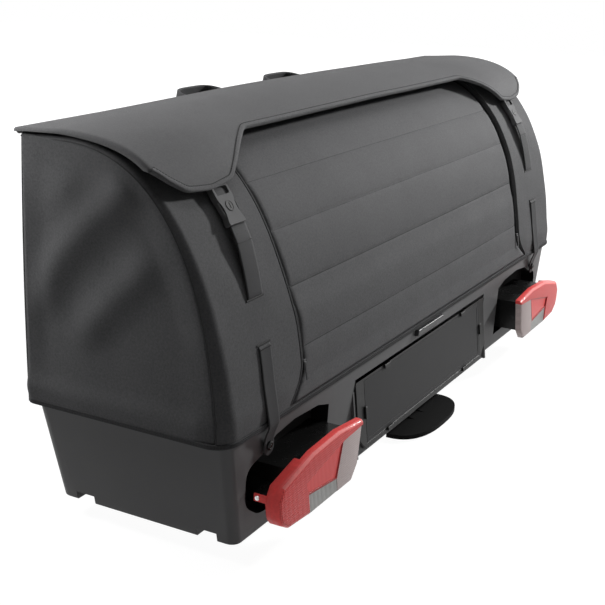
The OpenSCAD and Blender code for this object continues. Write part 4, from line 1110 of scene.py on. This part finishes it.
class CARRIER_OT_hem(bpy.types.Operator):
    """Bound hem with two rows of stitches"""
    bl_idname = "carrier.hem"
    bl_label = "Hem"
    HEIGHT = 0.0078
    FRONT_R = 0.010
    STEP = 0.006
    # Heights of the rows of stitches about the binding's middle
    ROWS = (-0.0009, 0.0022)

    def execute(self, context):
        cover = context.scene.carrier_cover
        z = cover.hem_z + self.HEIGHT / 2 - 0.0015
        rear, front = (-cover.rear_hem, Profile(cover).corner(0)), (cover.front_hem, self.FRONT_R)
        points = []
        for k, (sign, (y, r)) in enumerate(((1, rear), (1, front), (-1, front), (-1, rear))):
            mid = Vector((sign * (cover.half_width - r), y - math.copysign(r, y)))
            for v in steps(8):
                a = math.radians(90 * (k - 1 + v))
                points.append(mid + Vector((math.cos(a), math.sin(a))) * r)
        loop = Line(points + points[:1])
        path, rows = [], ([], [])
        for v in steps(round(loop.length / self.STEP))[:-1]:
            s = loop.length * v
            out = loop_out(loop, s)
            base = spot(loop.at(s).x, (loop.at(s).y, z))
            path.append((base, out, UP))
            for row, up in zip(rows, self.ROWS):
                row.append(base + out * 0.0017 + UP * up)
        band = swept(path, rounded_box(0.0030, self.HEIGHT, 0.0012), closed=True)
        binding = woven("binding", context.scene.carrier_colours.binding, 0.0008)
        piece("hem_binding", band, "base", [binding])
        lines = [(Line(row + row[:1]), lambda s: loop_out(loop, s)) for row in rows]
        piece("hem_stitches", stitches(lines), "base", [shared("thread")])
        return {"FINISHED"}


# Lid

class LidShape:
    """The lid's outer face: one line from the hinge over the crown, cut off at an edge that varies across."""
    # Edge of a tab from its inner corner to the lid's side, as (place across, y)
    TAB = ((0.512, -0.0800), (0.540, -0.0915), (0.595, -0.0935), (0.650, -0.0915), (0.678, -0.0830))
    # Power of the curve's cosine and sine: 1 gives a quarter of an ellipse, less a fuller one
    ROUND = 0.8

    def __init__(self, lid, cover):
        self.lid = lid
        low = lid.top - lid.drop
        points = [(lid.hinge_y, lid.top - 0.005), (cover.crown_y, lid.top)]
        for v in steps(120)[1:]:
            a = math.radians(90 * (1 - v))
            points.append((cover.crown_y - lid.run * math.cos(a) ** self.ROUND,
                           low + lid.drop * math.sin(a) ** self.ROUND))
        self.line = Line(points).rounded(0.003, 6)
        edge = [(0, -lid.cutout_y), (lid.cutout_x, -lid.cutout_y - 0.002), *self.TAB,
                (cover.half_width + 0.008, -lid.side_y)]
        self.edge = Line(edge).rounded(0.004, 5)

    def edge_y(self, x):
        """Rear edge behind the centre line."""
        return self.edge.cross(0, abs(x)).y

    def run_to(self, y):
        return last_where(lambda s: self.line.at(s).x > y, self.line.length)

    def out(self, s):
        return -left_of(self.line.along(s))


class CARRIER_OT_lid(bpy.types.Operator):
    """Stiffened lid with its bound edge, side lips and hinge sleeves"""
    bl_idname = "carrier.lid"
    bl_label = "Lid"
    # Share of the section that a lip takes, and its bend
    LIP = 0.035
    LIP_R = 0.0045
    SLEEVE_R = 0.0049
    SLEEVES = ((-0.690, -0.331), (-0.2195, 0.2195), (0.331, 0.690))

    def execute(self, context):
        cover, lid = context.scene.carrier_cover, context.scene.carrier_lid
        grey = context.scene.carrier_colours.lid
        shape = LidShape(lid, cover)
        outer = cover.half_width + 0.005
        end = functools.cache(lambda x: shape.run_to(shape.edge_y(x)))

        def across(u):
            """Place across, share of the lip's turn and of its drop."""
            k = abs(2 * u - 1)
            side = 1 if u > 0.5 else -1
            flat = 1 - 2 * self.LIP
            if k <= flat:
                return side * (outer - self.LIP_R) * k / flat, 0.0, 0.0
            k = (k - flat) / (1 - flat)
            return side * (outer - self.LIP_R), min(1, 2 * k), max(0, 2 * k - 1)

        def cut(u, v):
            x, bent, hung = across(u)
            lip = math.copysign(bent * self.LIP_R * 1.57 + hung * lid.lip, x)
            return x + lip, v * end(x)

        def place(u, v):
            x, bent, hung = across(u)
            s = v * end(x)
            yz, out = shape.line.at(s), shape.out(s)
            soft = 0.0016 * noise.noise(Vector((x * 4.5, s * 8, 5.5))) * ease(0, 0.05, s)
            bow = lid.bow * (1 - (x / outer) ** 2) * ease(-0.01, 0.03, s) * ease(0, 0.13, end(x) - s)
            a = bent * math.pi / 2
            lip = mix(0.002, lid.lip, ease(-0.068, -0.064, yz.x)) * mix(1, 0.6, ease(0.02, 0.15, yz.x))
            down = self.LIP_R * (1 - math.cos(a)) + hung * max(0.0005, lip - self.LIP_R)
            wide = x + math.copysign(self.LIP_R * math.sin(a), x)
            return spot(wide, yz + out * (soft + bow - down))

        obj = piece("lid_cloth", cloth_grid(180, 64, place, cut), "lid",
                    [woven("lid_cloth", grey, 0.0012, 0.2)], ["lid"], sharp=70)
        thicken(obj, lid.thick - 0.001)
        # Binding round the edge, with a row of stitches
        path, sewn, outs = [], [], []
        count = 220
        edge, inner = ([place(mix(self.LIP, 1 - self.LIP, u), v) for u in steps(count)] for v in (1, 0.985))
        for k in range(count + 1):
            along = (edge[min(k + 1, count)] - edge[max(k - 1, 0)]).normalized()
            away = (edge[k] - inner[k]).normalized()
            up = along.cross(away).normalized()
            up = up if up.dot(edge[k] - MIDDLE) > 0 else -up
            away = up.cross(along).normalized()
            away = away if away.dot(edge[k] - inner[k]) > 0 else -away
            path.append((edge[k] - away * 0.0026 - up * 0.0028, away, up))
            sewn.append(edge[k] - away * 0.0064 + up * 0.0006)
            outs.append(up)
        band = swept(path, rounded_box(0.0085, 0.0076, 0.0024))
        tape = piece("lid_binding", band, "lid", [woven("lid_tape", grey, 0.0008)])
        line = Line(sewn)
        row = [(line, lambda s: outs[min(count, line.leg(s))])]
        stitched = piece("lid_stitches", stitches(row), "lid", [shared("thread")])
        loops = piece("lid_sleeves", sleeves(lid, self.SLEEVE_R, self.SLEEVES), "lid",
                      [shared("sleeve")])
        soft_sheet(obj)
        eased("hinge_rod_bar", "hinge_rod", shared("trim_black"), 0.0006)
        return {"FINISHED"}


# Straps and buckles

class BuckleFrame:
    """Place of a buckle on the cover: local z runs up the strap and -y out of the cloth."""

    def __init__(self, straps, prof):
        self.t = prof.at_height(straps.lock_z)
        self.origin = prof.point(self.t)
        self.up = prof.slope(self.t)
        self.out = left_of(self.up)
        self.x = straps.place_x

    def yz(self, out, up):
        return self.origin + self.out * out + self.up * up

    def matrix(self, side):
        return axes(spot(side * self.x, self.origin), ACROSS, -in_space(self.out), in_space(self.up))


def strap(name, line, width, x, body, finish, thick, stands_for=()):
    """A strap along a line of (y, z); width gives its breadth at a distance along."""

    def cut(u, v):
        s = v * line.length
        return (u - 0.5) * width(s), s

    def place(u, v):
        across, s = cut(u, v)
        bow = 0.0004 * (1 - (2 * u - 1) ** 2)
        return spot(x + across, line.at(s) + left_of(line.along(s)) * bow)

    rows = max(8, round(line.length / 0.003))
    bm = cloth_grid(12, rows, place, cut)
    obj = piece(name, bm, body, [finish], stands_for, sharp=60)
    thicken(obj, thick)
    return obj


class CARRIER_OT_straps(bpy.types.Operator):
    """Upper and lower straps, the webbing under the lid, and their rivets"""
    bl_idname = "carrier.straps"
    bl_label = "Straps"
    # Radius of a lower strap's round end, and the length that is no wider than it
    END_R, NECK = 0.0128, 0.030
    # Where a lower strap passes the hem, as (y, z)
    OVER_HEM = ((-0.1862, 0.212), (-0.1868, 0.203), (-0.1800, 0.186))
    RIVET = ((0, 0.0032), (0.0022, 0.0032), (0.0030, 0.0022), (0.0052, 0.0030), (0.0068, 0.0020),
             (0.0072, 0.0004), (0.0070, -0.0012), (0, -0.0012))

    def execute(self, context):
        scene = context.scene
        straps, cover, lid = scene.carrier_straps, scene.carrier_cover, scene.carrier_lid
        prof = Profile(cover)
        at = BuckleFrame(straps, prof)
        web = strapping("strap_webbing", scene.carrier_colours.webbing)
        thread = shared("strap_thread")
        black = moulded("rivet_black", (0.014, 0.014, 0.014), 0.22)
        shape = LidShape(lid, cover)
        tub_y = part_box("strap_rivets")[0].y - CENTRE_Y
        for name, side in SIDES:
            x = side * straps.place_x
            # Upper strap, from under the buckle down to its slit
            points = [prof.off(prof.at_height(straps.slit_up), -0.004)]
            low, high = prof.at_height(straps.slit_up + 0.0015), prof.at_height(at.yz(0, -0.0275).y)
            points += [prof.off(mix(low, high, v), mix(0.0024, 0.0112, min(1, 1.28 * v))) for v in steps(24)]
            line = Line(points).rounded(0.002, 1)
            upper = strap(f"upper_strap_{name}", line, lambda s: straps.upper_w, x, "base", web,
                          straps.thick, for_both("upper_straps", side))
            sewn_at = line.length * 0.77
            row = Line([spot(x + k * straps.upper_w / 2 * 0.94, line.at(sewn_at)) for k in (-1, 1)])
            out = in_space(at.out)
            raised = Line([p + out * 0.0006 for p in row.points])
            seam = piece(f"upper_seam_{name}", stitches([(raised, lambda s: out)], 0.0022, 0.0019, 0.0012),
                         "base", [thread])
            soft_sheet(upper)
            # Lower strap, from its slit over the hem to the riveted end
            start = prof.at_height(straps.slit_low)
            points = [prof.off(start, -0.004)]
            points += [prof.off(mix(start - 0.003, 0.11, v), 0.0024) for v in steps(10)]
            points += [*self.OVER_HEM, *((tub_y + 0.0005, straps.rivet_z + up) for up in (0.007, -0.015))]
            line = Line(points).rounded(0.002, 3)

            def breadth(s, line=line, end_r=self.END_R):
                left = line.length - s
                if left < end_r:
                    return max(0.003, 2 * math.sqrt(max(0, end_r ** 2 - (end_r - left) ** 2)))
                return straps.lower_w - 0.0035 * ease(0.08, 0.03, left) if left > self.NECK else 2 * end_r

            lower = strap(f"lower_strap_{name}", line, breadth, x, "base", web,
                          straps.thick + 0.0004, for_both("lower_straps", side))
            row = Line([spot(x + k * straps.lower_w / 2, prof.off(start - 0.012, 0.0028)) for k in (-1, 1)])
            sewn = stitches([(row, lambda s: Vector((0, -1, 0.1)))], 0.003, 0.002, 0.0009)
            seam = piece(f"lower_seam_{name}", sewn, "base", [thread])
            soft_sheet(lower)
            # Dark bars over the slits that the straps go through: painted shade of the slits' openings
            slits = bmesh.new()
            for z, wide in ((straps.slit_up, straps.upper_w), (straps.slit_low, straps.lower_w)):
                t = prof.at_height(z)
                out, along = in_space(prof.out(t)), in_space(prof.slope(t))
                reach = wide / 2 + 0.003
                path = [(spot(x + k * reach, prof.off(t, 0.0002)), out, along) for k in (-1, 0, 1)]
                join(slits, swept(path, rounded_box(0.0018, 0.0030, 0.0008, 2)))
            piece(f"slit_edges_{name}", slits, "base", [thread])
            # Webbing from under the lid's tab to the buckle's bar
            tab = shape.run_to(-lid.tab_y)
            runs = [tab - d for d in (0.06, 0.045, 0.03, 0.018)]
            points = [shape.line.at(run) - shape.out(run) * 0.0085 for run in runs]
            points += [at.yz(0.0062, 0.034), at.yz(0.0098, 0.0285), at.yz(0.0098, 0.0160)]
            line = Line(list(reversed(points))).rounded(0.002, 2)
            obj = strap(f"lid_strap_{name}", line, lambda s: straps.web_w, x, "lid", web,
                        straps.thick, for_both("lid_webbing", side))
            soft_sheet(obj)
            # Rivet with a dished head
            lay = axes(spot(x, (tub_y, straps.rivet_z)), ACROSS, UP, -AHEAD)
            rivet = join(bmesh.new(), turned(self.RIVET, 28), lay)
            piece(f"rivet_{name}", rivet, "base", [black], for_both("strap_rivets", side))
        return {"FINISHED"}


class CARRIER_OT_buckles(bpy.types.Operator):
    """Buckles with their window, spring arms and key locks, and the tongues"""
    bl_idname = "carrier.buckles"
    bl_label = "Buckles"
    # Right half of the outline from the top down, as (x, z) in the buckle's frame
    EDGE = ((0.0150, 0.0330), (0.0182, 0.0315), (0.0194, 0.0285), (0.0200, 0.0170), (0.0192, 0.0100),
            (0.0168, 0.0040), (0.0156, -0.0030), (0.0160, -0.0100), (0.0182, -0.0170), (0.0196, -0.0220),
            (0.0198, -0.0258), (0.0188, -0.0270))
    WINDOW = (0.0305, 0.0122, 0.0030, 0.0237)
    ARM = ((0.0194, 0.0085), (0.0199, 0.0020), (0.0192, -0.0060), (0.0172, -0.0140))
    FACE = 0.0130
    BACK = 0.0030
    ARM_Y = 0.0085
    LOCK_RING = ((0.0064, 0.0128), (0.0070, 0.0139), (0.0078, 0.0139), (0.0082, 0.0128), (0.0064, 0.0128))

    def shell(self):
        """The buckle's body in its own frame, with -y out of the cloth."""
        outline = [*self.EDGE, *((-x, z) for x, z in reversed(self.EDGE))]
        wide, high, radius, mid = self.WINDOW
        window = [(a, b + mid) for a, b in rounded_box(wide, high, radius, 4)]
        bm = bmesh.new()
        rings = []
        for points in (outline, window):
            verts = [bm.verts.new((x, -self.FACE, z)) for x, z in points]
            rings.append([bm.edges.new(pair) for pair in zip(verts, verts[1:] + verts[:1])])
        bmesh.ops.triangle_fill(bm, edges=rings[0] + rings[1], use_beauty=True, use_dissolve=True)
        drawn_out(bm, bm.faces[:], (0, self.FACE - self.BACK, 0))
        for side in (-1, 1):
            line = Line([Vector((side * x, 0, z)) for x, z in self.ARM]).rounded(0.0015, 2)
            path = []
            for v in steps(19):
                at = line.length * v
                path.append((line.at(at) - AHEAD * self.ARM_Y, line.along(at).cross(AHEAD), AHEAD))
            join(bm, swept(path, rounded_box(0.0018, 0.0070, 0.0007, 2)))
        return bm

    def execute(self, context):
        straps = context.scene.carrier_straps
        at = BuckleFrame(straps, Profile(context.scene.carrier_cover))
        satin = moulded("buckle_grey", context.scene.carrier_colours.buckle, 0.72, level=0.12)
        dark = moulded("lock_dark", (0.014, 0.014, 0.014), 0.6, level=0.2)
        for name, side in SIDES:
            lay = at.matrix(side)
            shell = join(bmesh.new(), self.shell(), lay)
            obj = piece(f"buckle_{name}_shell", shell, "lid", [satin], [f"buckle_{name}"], sharp=30)
            round_edges(obj, 0.0011, 3)
            eased(f"tongue_{name}_plate", f"tongue_{name}", dark, 0.0008)
            eased(f"lock_{name}_barrel", f"lock_{name}", dark, 0.0005)
            ring = join(bmesh.new(), turned(self.LOCK_RING, 32), lay @ Matrix.Rotation(math.pi / 2, 4, "X"))
            piece(f"lock_ring_{name}", ring, "lid", [dark])
        return {"FINISHED"}


# Tub

class CARRIER_OT_tub(bpy.types.Operator):
    """Moulded tub: walls and floor pan in one, with rounded edges"""
    bl_idname = "carrier.tub"
    bl_label = "Tub"
    SKIRT_R = 0.009
    LEAN = 0.008
    # Bounds of a light's recess: across, up and behind the rear wall
    RECESS = (0.372, 0.640, 0.050, 0.205, -0.1620)
    CORNER_R = 0.015
    # Where the recess's outer corners run from front to rear
    CORNER_X, CORNER_Y, CORNER_Z = (0.584, 0.628), (-0.175, -0.135), (0.055, 0.15)
    LEAN_Y = (0.10, 0.14)
    WALL_H = 0.17

    def recess_corner(self, edge):
        """Whether an edge is one of the outer corners of a light's recess."""
        a, b = (v.co for v in edge.verts)
        (x_low, x_high), (y_low, y_high), (z_low, z_high) = self.CORNER_X, self.CORNER_Y, self.CORNER_Z
        return (abs(a.x - b.x) < 1e-3 and abs(a.z - b.z) < 1e-3 and x_low < abs(a.x) < x_high
                and z_low < a.z < z_high and all(y_low < p.y - CENTRE_Y < y_high for p in (a, b))
                and edge.is_manifold and edge.calc_face_angle() > 0.5)

    def skirt_edge(self, edge, floor_z):
        """Whether an edge runs round the foot of the tub's outer walls."""
        def outer(face):
            middle = Vector((0, CENTRE_Y, face.calc_center_median().z))
            return face.normal.z > -0.5 and face.normal.dot(edge.verts[0].co - middle) > 0

        low = all(v.co.z < floor_z + 1e-4 for v in edge.verts)
        return low and edge.is_manifold and any(outer(face) for face in edge.link_faces)

    def execute(self, context):
        shell = moulded("tub_shell", context.scene.carrier_colours.shell, 0.5, level=0.14)
        joint_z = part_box("tub")[0].z
        floor_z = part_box("tub_floor")[0].z
        bm = solids("tub", "tub_floor")
        inner = [f for f in bm.faces if all(abs(v.co.z - joint_z) < 1e-5 for v in f.verts)]
        bmesh.ops.delete(bm, geom=inner, context="FACES")
        bmesh.ops.remove_doubles(bm, verts=bm.verts, dist=2e-5)
        flattened(bm, 1)
        rounded_off(bm, [e for e in bm.edges if self.skirt_edge(e, floor_z)], self.SKIRT_R, 3)
        rounded_off(bm, [e for e in bm.edges if self.recess_corner(e)], self.CORNER_R, 4)
        for vert in bm.verts:
            up = (vert.co.z - floor_z) / self.WALL_H
            vert.co.y += self.LEAN * ease(*self.LEAN_Y, vert.co.y - CENTRE_Y) * up
        # Faces inside a light's recess get a near-black finish: painted shade, as the recess lies in shadow
        for face in bm.faces:
            mid = face.calc_center_median()
            x_in, x_out, z_low, z_top, deep = self.RECESS
            inside = x_in < abs(mid.x) < x_out and z_low < mid.z < z_top and mid.y - CENTRE_Y > deep
            face.material_index = int(inside and mid.y < CENTRE_Y)
        painted_shade = moulded("recess_black", (0.006, 0.006, 0.006), 0.8, level=0.1)
        obj = piece("tub_shell", bm, "base", [shell, painted_shade], ["tub", "tub_floor"], sharp=30)
        round_edges(obj, 0.003, 3)
        return {"FINISHED"}


# Lights

class CARRIER_OT_lights(bpy.types.Operator):
    """Rear lights: red lens, clear lens, reflector, housing and screw"""
    bl_idname = "carrier.lights"
    bl_label = "Lights"
    TOP = ((0.372, 0.148), (0.450, 0.156), (0.531, 0.152), (0.618, 0.132))
    OUTER = ((0.632, 0.112), (0.629, 0.088), (0.622, 0.074), (0.600, 0.0605), (0.541, 0.056))
    REFLECTOR = ((0.437, 0.136), (0.554, 0.112), (0.546, 0.090), (0.456, 0.080))
    RED_IN = (0.374, 0.140)
    LOW_IN = (0.406, 0.056)
    SIDE_IN = (0.386, 0.078)
    LOW_MID = (0.452, 0.056)
    # Depths behind the red lens's face: its back, the back of its bulge and the end of its screw tab
    BACK, DEEP, TAB_END = 0.014, 0.025, 0.048
    BULGE_X = 0.552
    TAB_X, TAB_Z = 0.6205, 0.108
    SCREW = ((0, 0.0022), (0.0012, 0.0022), (0.0016, 0.0014), (0.0034, 0.0016), (0.0040, 0.0004),
             (0.0040, -0.0005), (0, -0.0005))
    # A reflector's face is larger than this, in square metres, and its border's faces are smaller
    FACE_AREA = 0.0008

    def execute(self, context):
        colours = context.scene.carrier_colours
        red = tuple(colours.red)
        smooth = lens("red_lens", red, "plain", 0.0002)
        beaded = lens("red_beads", shaded(red, 0.85), "beads", 0.0012)
        # The pale pink ridge finish is a painted highlight on the bevel faces of the red lens that look up
        # and back
        pale = lens("red_ridge", (0.80, 0.20, 0.19), "plain", 0.0002, rough=0.6)
        # The clear lens is grey, and its pink tint is a painted reflection of the red lens beside it
        clear = lens("clear_lens", (0.42, 0.345, 0.335), "beads", 0.0005)
        ribbed = lens("clear_ribs", colours.clear, "ribs", 0.0012)
        border = lens("reflector_border", shaded(red, 0.4), "plain", 0.0001)
        mirror = lens("reflector_face", shaded(red, 0.95), "ribs", 0.0003, contrast=0.08)
        black = moulded("lamp_black", (0.010, 0.010, 0.010), 0.25)
        steel = metal("screw_zinc", (0.75, 0.75, 0.75))
        ra, rb, rc, rd = self.REFLECTOR
        for name, side in SIDES:
            def lay(outline):
                return [(side * x, z) for x, z in outline]

            face = -LENS_FACE
            back, deep, tab_end = face + self.BACK, face + self.DEEP, face + self.TAB_END
            outline = [*self.TOP, *self.OUTER, rc, rb, ra, self.RED_IN]
            bm = prism(lay(outline), face, back)
            self.soften_face(bm, face, lay([*self.TOP, *self.OUTER]), 0.0075, 4)
            bulge = prism(lay(outline), back - 0.001, deep)
            cut_off(bulge, (side * self.BULGE_X, 0, 0), (-side, 0, 0))
            cut_off(bulge, spot(0, (back, 0.060)), (0, 0.022, -0.011))
            rim = [e for e in bulge.edges if all(v.co.y - CENTRE_Y > deep - 1e-4 for v in e.verts)]
            rounded_off(bulge, rim, 0.0035, 3, clamp=False)
            join(bm, bulge)
            path = [(spot(side * self.TAB_X, (mix(deep - 0.001, tab_end, v), self.TAB_Z)), ACROSS, UP)
                    for v in steps(6)]
            join(bm, swept(path, rounded_box(0.003, 0.012, 0.001, 2)))
            bm.normal_update()
            for f in bm.faces:
                # Faces that look up and back get the painted highlight, front faces the beads, the rest plain
                # red
                high = -0.9 < f.normal.y < -0.3 and f.normal.z > 0.2 and abs(f.calc_center_median().x) < 0.6
                f.material_index = 2 if high else 1 if f.normal.y < -0.75 else 0
            piece(f"light_red_{name}_lens", bm, "base", [smooth, beaded, pale],
                  [f"light_red_{name}"], sharp=50)

            outline = [self.RED_IN, ra, rd, self.LOW_MID, self.LOW_IN, self.SIDE_IN]
            bm = prism(lay(outline), face + 0.0015, back)
            rim = lay([self.RED_IN, self.SIDE_IN, self.LOW_IN, self.LOW_MID])
            self.soften_face(bm, face + 0.0015, rim, 0.003, 3)
            strip = prism(lay([rd, rc, self.OUTER[4], self.LOW_MID]), face + 0.002, back)
            self.soften_face(strip, face + 0.002, lay([self.OUTER[4], self.LOW_MID]), 0.003, 3)
            for f in strip.faces:
                f.material_index = 1
            join(bm, strip)
            piece(f"light_clear_{name}_lens", bm, "base", [clear, ribbed],
                  [f"light_clear_{name}"], sharp=50)

            bm = prism(lay(self.REFLECTOR), face + 0.0012, back)
            front = [f for f in bm.faces if f.normal.y < -0.9]
            bmesh.ops.inset_region(bm, faces=front, thickness=0.0022, depth=0)
            inner = [f for f in bm.faces if f.normal.y < -0.9 and f.calc_area() > self.FACE_AREA]
            bmesh.ops.inset_region(bm, faces=inner, thickness=0.001, depth=-0.0016)
            for f in bm.faces:
                f.material_index = 0 if f.calc_area() > self.FACE_AREA and f.normal.y < -0.9 else 1
            piece(f"reflector_{name}", bm, "base", [mirror, border],
                  for_both("light_reflectors", side), sharp=30)

            eased(f"light_housing_{name}_box", f"light_housing_{name}", black, 0.002, 3)
            screw_at = spot(side * (self.TAB_X + 0.0015), (tab_end - 0.006, self.TAB_Z))
            screw = join(bmesh.new(), turned(self.SCREW, 20), axes(screw_at, AHEAD * side, UP, ACROSS * side))
            piece(f"lens_screw_{name}", screw, "base", [steel])
        return {"FINISHED"}

    def soften_face(self, bm, face, outline, width, segments):
        """Rounds the front edges that run along an outline of (x, z)."""
        ends = [spot(x, (face, z)) for x, z in outline]
        edges = [e for e in bm.edges if all(any((v.co - p).length < 1e-5 for p in ends) for v in e.verts)
                 and abs(e.verts[0].co.y - e.verts[1].co.y) < 1e-6]
        rounded_off(bm, edges, width, segments)
        bmesh.ops.recalc_face_normals(bm, faces=bm.faces)


# Plate, pedal, chassis and coupling

class CARRIER_OT_plate(bpy.types.Operator):
    """Number plate, bare, in its holder, and the blank badge above it"""
    bl_idname = "carrier.plate"
    bl_label = "Plate"

    def execute(self, context):
        colours = context.scene.carrier_colours
        trim = shared("trim_black")
        eased("plate_holder_frame", "plate_holder", trim, 0.0016, 3)
        eased("number_plate_sheet", "number_plate", coated("plate_paint", colours.plate, 0.6, 0.1), 0.0006)
        eased("plate_clip_set", "plate_clips", trim, 0.001)
        eased("badge_block", "badge", moulded("badge_grey", (0.05, 0.05, 0.052), 0.35), 0.0016, 3)
        return {"FINISHED"}


class CARRIER_OT_chassis(bpy.types.Operator):
    """Tubes, beam, feet, bolts, hoops and the pedal under the tub"""
    bl_idname = "carrier.chassis"
    bl_label = "Chassis"

    def execute(self, context):
        trim, rubber, zinc, paint = map(shared, ("trim_black", "rubber_black", "zinc", "frame_coat"))
        alloy = metal("tube_alloy", (0.6, 0.6, 0.61), 0.4)
        for node, finish, width in (
            ("tub_bolts", zinc, 0.0008), ("chassis_feet", rubber, 0.002), ("cross_tube_front", alloy, 0.0015),
            ("cross_tube_rear", alloy, 0.0015), ("tube_caps", trim, 0.0012), ("centre_beam", paint, 0.001),
            ("tilt_pin", zinc, 0.0008), ("pedal_pin", zinc, 0.0008), ("pedal_spring", zinc, 0.0004),
            ("release_rod", zinc, 0.0006), ("end_hoop_left", alloy, 0.0015),
            ("end_hoop_right", alloy, 0.0015), ("top_rail", alloy, 0.0008), ("cable_gland", rubber, 0.001),
            ("led_boards", coated("circuit_board", (0.02, 0.09, 0.04), 0.4), 0.0003),
        ):
            eased(f"{node}_finish", node, finish, width)
        black = moulded("pedal_black", (0.005, 0.005, 0.005), 0.7, level=0.06)
        eased("pedal_tread", "pedal", black, 0.003, 3)
        return {"FINISHED"}


class CARRIER_OT_coupling(bpy.types.Operator):
    """Coupling, jaw and clamp lever on the tow ball"""
    bl_idname = "carrier.coupling"
    bl_label = "Coupling"

    def execute(self, context):
        rubber, zinc, paint = map(shared, ("rubber_black", "zinc", "frame_coat"))
        cast = coated("cast_paint", (0.035, 0.035, 0.037), 0.6)
        for node, finish, width in (
            ("coupling_arm", paint, 0.0015), ("coupling_housing", cast, 0.004), ("ball_seat", zinc, 0.0008),
            ("clamp_jaw", zinc, 0.0008), ("clamp_lever", cast, 0.002), ("lever_pin", zinc, 0.0008),
            ("lever_grip", rubber, 0.002),
        ):
            eased(f"{node}_finish", node, finish, width, 3)
        return {"FINISHED"}


class CARRIER_OT_handles(bpy.types.Operator):
    """Webbing handles on the front wall, with their sewn patches"""
    bl_idname = "carrier.handles"
    bl_label = "Handles"
    BOW = 4.0
    SPREAD = 0.012
    THICK = 0.0042
    # Stitches on a patch, from corner to corner: both sides and a cross
    ROWS = (((-1, -1), (-1, 1)), ((1, -1), (1, 1)), ((-1, -1), (1, 1)), ((-1, 1), (1, -1)))

    def execute(self, context):
        straps = context.scene.carrier_straps
        prof = Profile(context.scene.carrier_cover)
        # The handles' webbing is lighter than the straps' webbing partly as painted light, in place of the
        # light from above that the lid keeps off
        web = strapping("handle_webbing", shaded(context.scene.carrier_colours.cloth, 0.8))
        wall_y = prof.front(straps.handle_z)
        slope = Matrix.Rotation(straps.handle_rise, 2)
        for name, side in SIDES:
            mid = side * straps.handle_x
            bow = []
            for v in steps(60):
                a = math.pi * mix(0.012, 0.988, v)
                c, s = math.cos(a), math.sin(a)
                half = straps.handle_w / 2 + self.SPREAD * s
                bow.append((half * math.copysign(abs(c) ** (2 / self.BOW), c),
                            straps.handle_reach * s ** (2 / self.BOW)))
            line = Line(bow).rounded(0.004, 2)

            def cut(u, v):
                return (u - 0.5) * straps.handle_h, v * line.length

            def place(u, v):
                across, s = cut(u, v)
                p = line.at(s)
                lean = slope @ Vector((p.y, across))
                y = max(wall_y + lean.x, prof.front(straps.handle_z + lean.y) + 0.0012)
                return spot(mid + p.x, (y, straps.handle_z + lean.y))

            inside = spot(mid, (wall_y + 0.03, straps.handle_z + 0.01))
            bm = cloth_grid(10, 80, place, cut, inside)
            obj = piece(f"handle_{name}_bow", bm, "base", [web], [f"handle_{name}"], sharp=60)
            thicken(obj, self.THICK)
            patches = bmesh.new()
            rows = []
            for end in (-1, 1):
                x = mid + end * (straps.handle_w / 2 - 0.0025)
                heights = [straps.handle_z + mix(-0.023, 0.023, v) for v in steps(8)]
                path = [(spot(x, (prof.front(z) + 0.0026, z)), ACROSS, AHEAD) for z in heights]
                join(patches, swept(path, rounded_box(0.030, 0.0034, 0.0012)))
                for row in self.ROWS:
                    ends = []
                    for a, b in row:
                        z = straps.handle_z + b * 0.019
                        ends.append(spot(x + a * 0.012, (prof.front(z) + 0.0044, z)))
                    rows.append((Line(ends), lambda s: AHEAD))
            patch = piece(f"handle_{name}_patches", patches, "base", [web])
            sewn = piece(f"handle_{name}_stitches", stitches(rows), "base",
                         [shared("strap_thread")])
            soft_sheet(obj)
        return {"FINISHED"}


class CARRIER_PT_sidebar(bpy.types.Panel):
    """Sizes, colours and pieces of the carrier"""
    bl_idname = "CARRIER_PT_sidebar"
    bl_label = "Cargo carrier"
    bl_space_type = "VIEW_3D"
    bl_region_type = "UI"
    bl_category = "Carrier"

    def draw(self, context):
        for group in GROUPS:
            box = self.layout.box()
            settings = getattr(context.scene, group)
            for name in GROUPS[group].__annotations__:
                box.prop(settings, name)
        for operator in OPERATORS:
            self.layout.operator(operator.bl_idname)


GROUPS = {
    "carrier_cover": CoverSizes, "carrier_lid": LidSizes, "carrier_straps": StrapSizes,
    "carrier_colours": Colours, "carrier_stage": StageSettings,
}
OPERATORS = (
    CARRIER_OT_stage, CARRIER_OT_end_panels, CARRIER_OT_side_strips, CARRIER_OT_front_wall,
    CARRIER_OT_rear_panel, CARRIER_OT_zips, CARRIER_OT_hem, CARRIER_OT_lid, CARRIER_OT_straps,
    CARRIER_OT_buckles, CARRIER_OT_tub, CARRIER_OT_lights, CARRIER_OT_plate, CARRIER_OT_chassis,
    CARRIER_OT_coupling, CARRIER_OT_handles,
)


def register():
    for cls in (*GROUPS.values(), *OPERATORS, CARRIER_PT_sidebar):
        bpy.utils.register_class(cls)
    for name, cls in GROUPS.items():
        setattr(bpy.types.Scene, name, PointerProperty(type=cls))


def unregister():
    for name in GROUPS:
        delattr(bpy.types.Scene, name)
    for cls in reversed((*GROUPS.values(), *OPERATORS, CARRIER_PT_sidebar)):
        bpy.utils.unregister_class(cls)


def main():
    register()
    for operator in OPERATORS:
        group, name = operator.bl_idname.split(".")
        getattr(getattr(bpy.ops, group), name)()


if __name__ == "__main__":
    main()
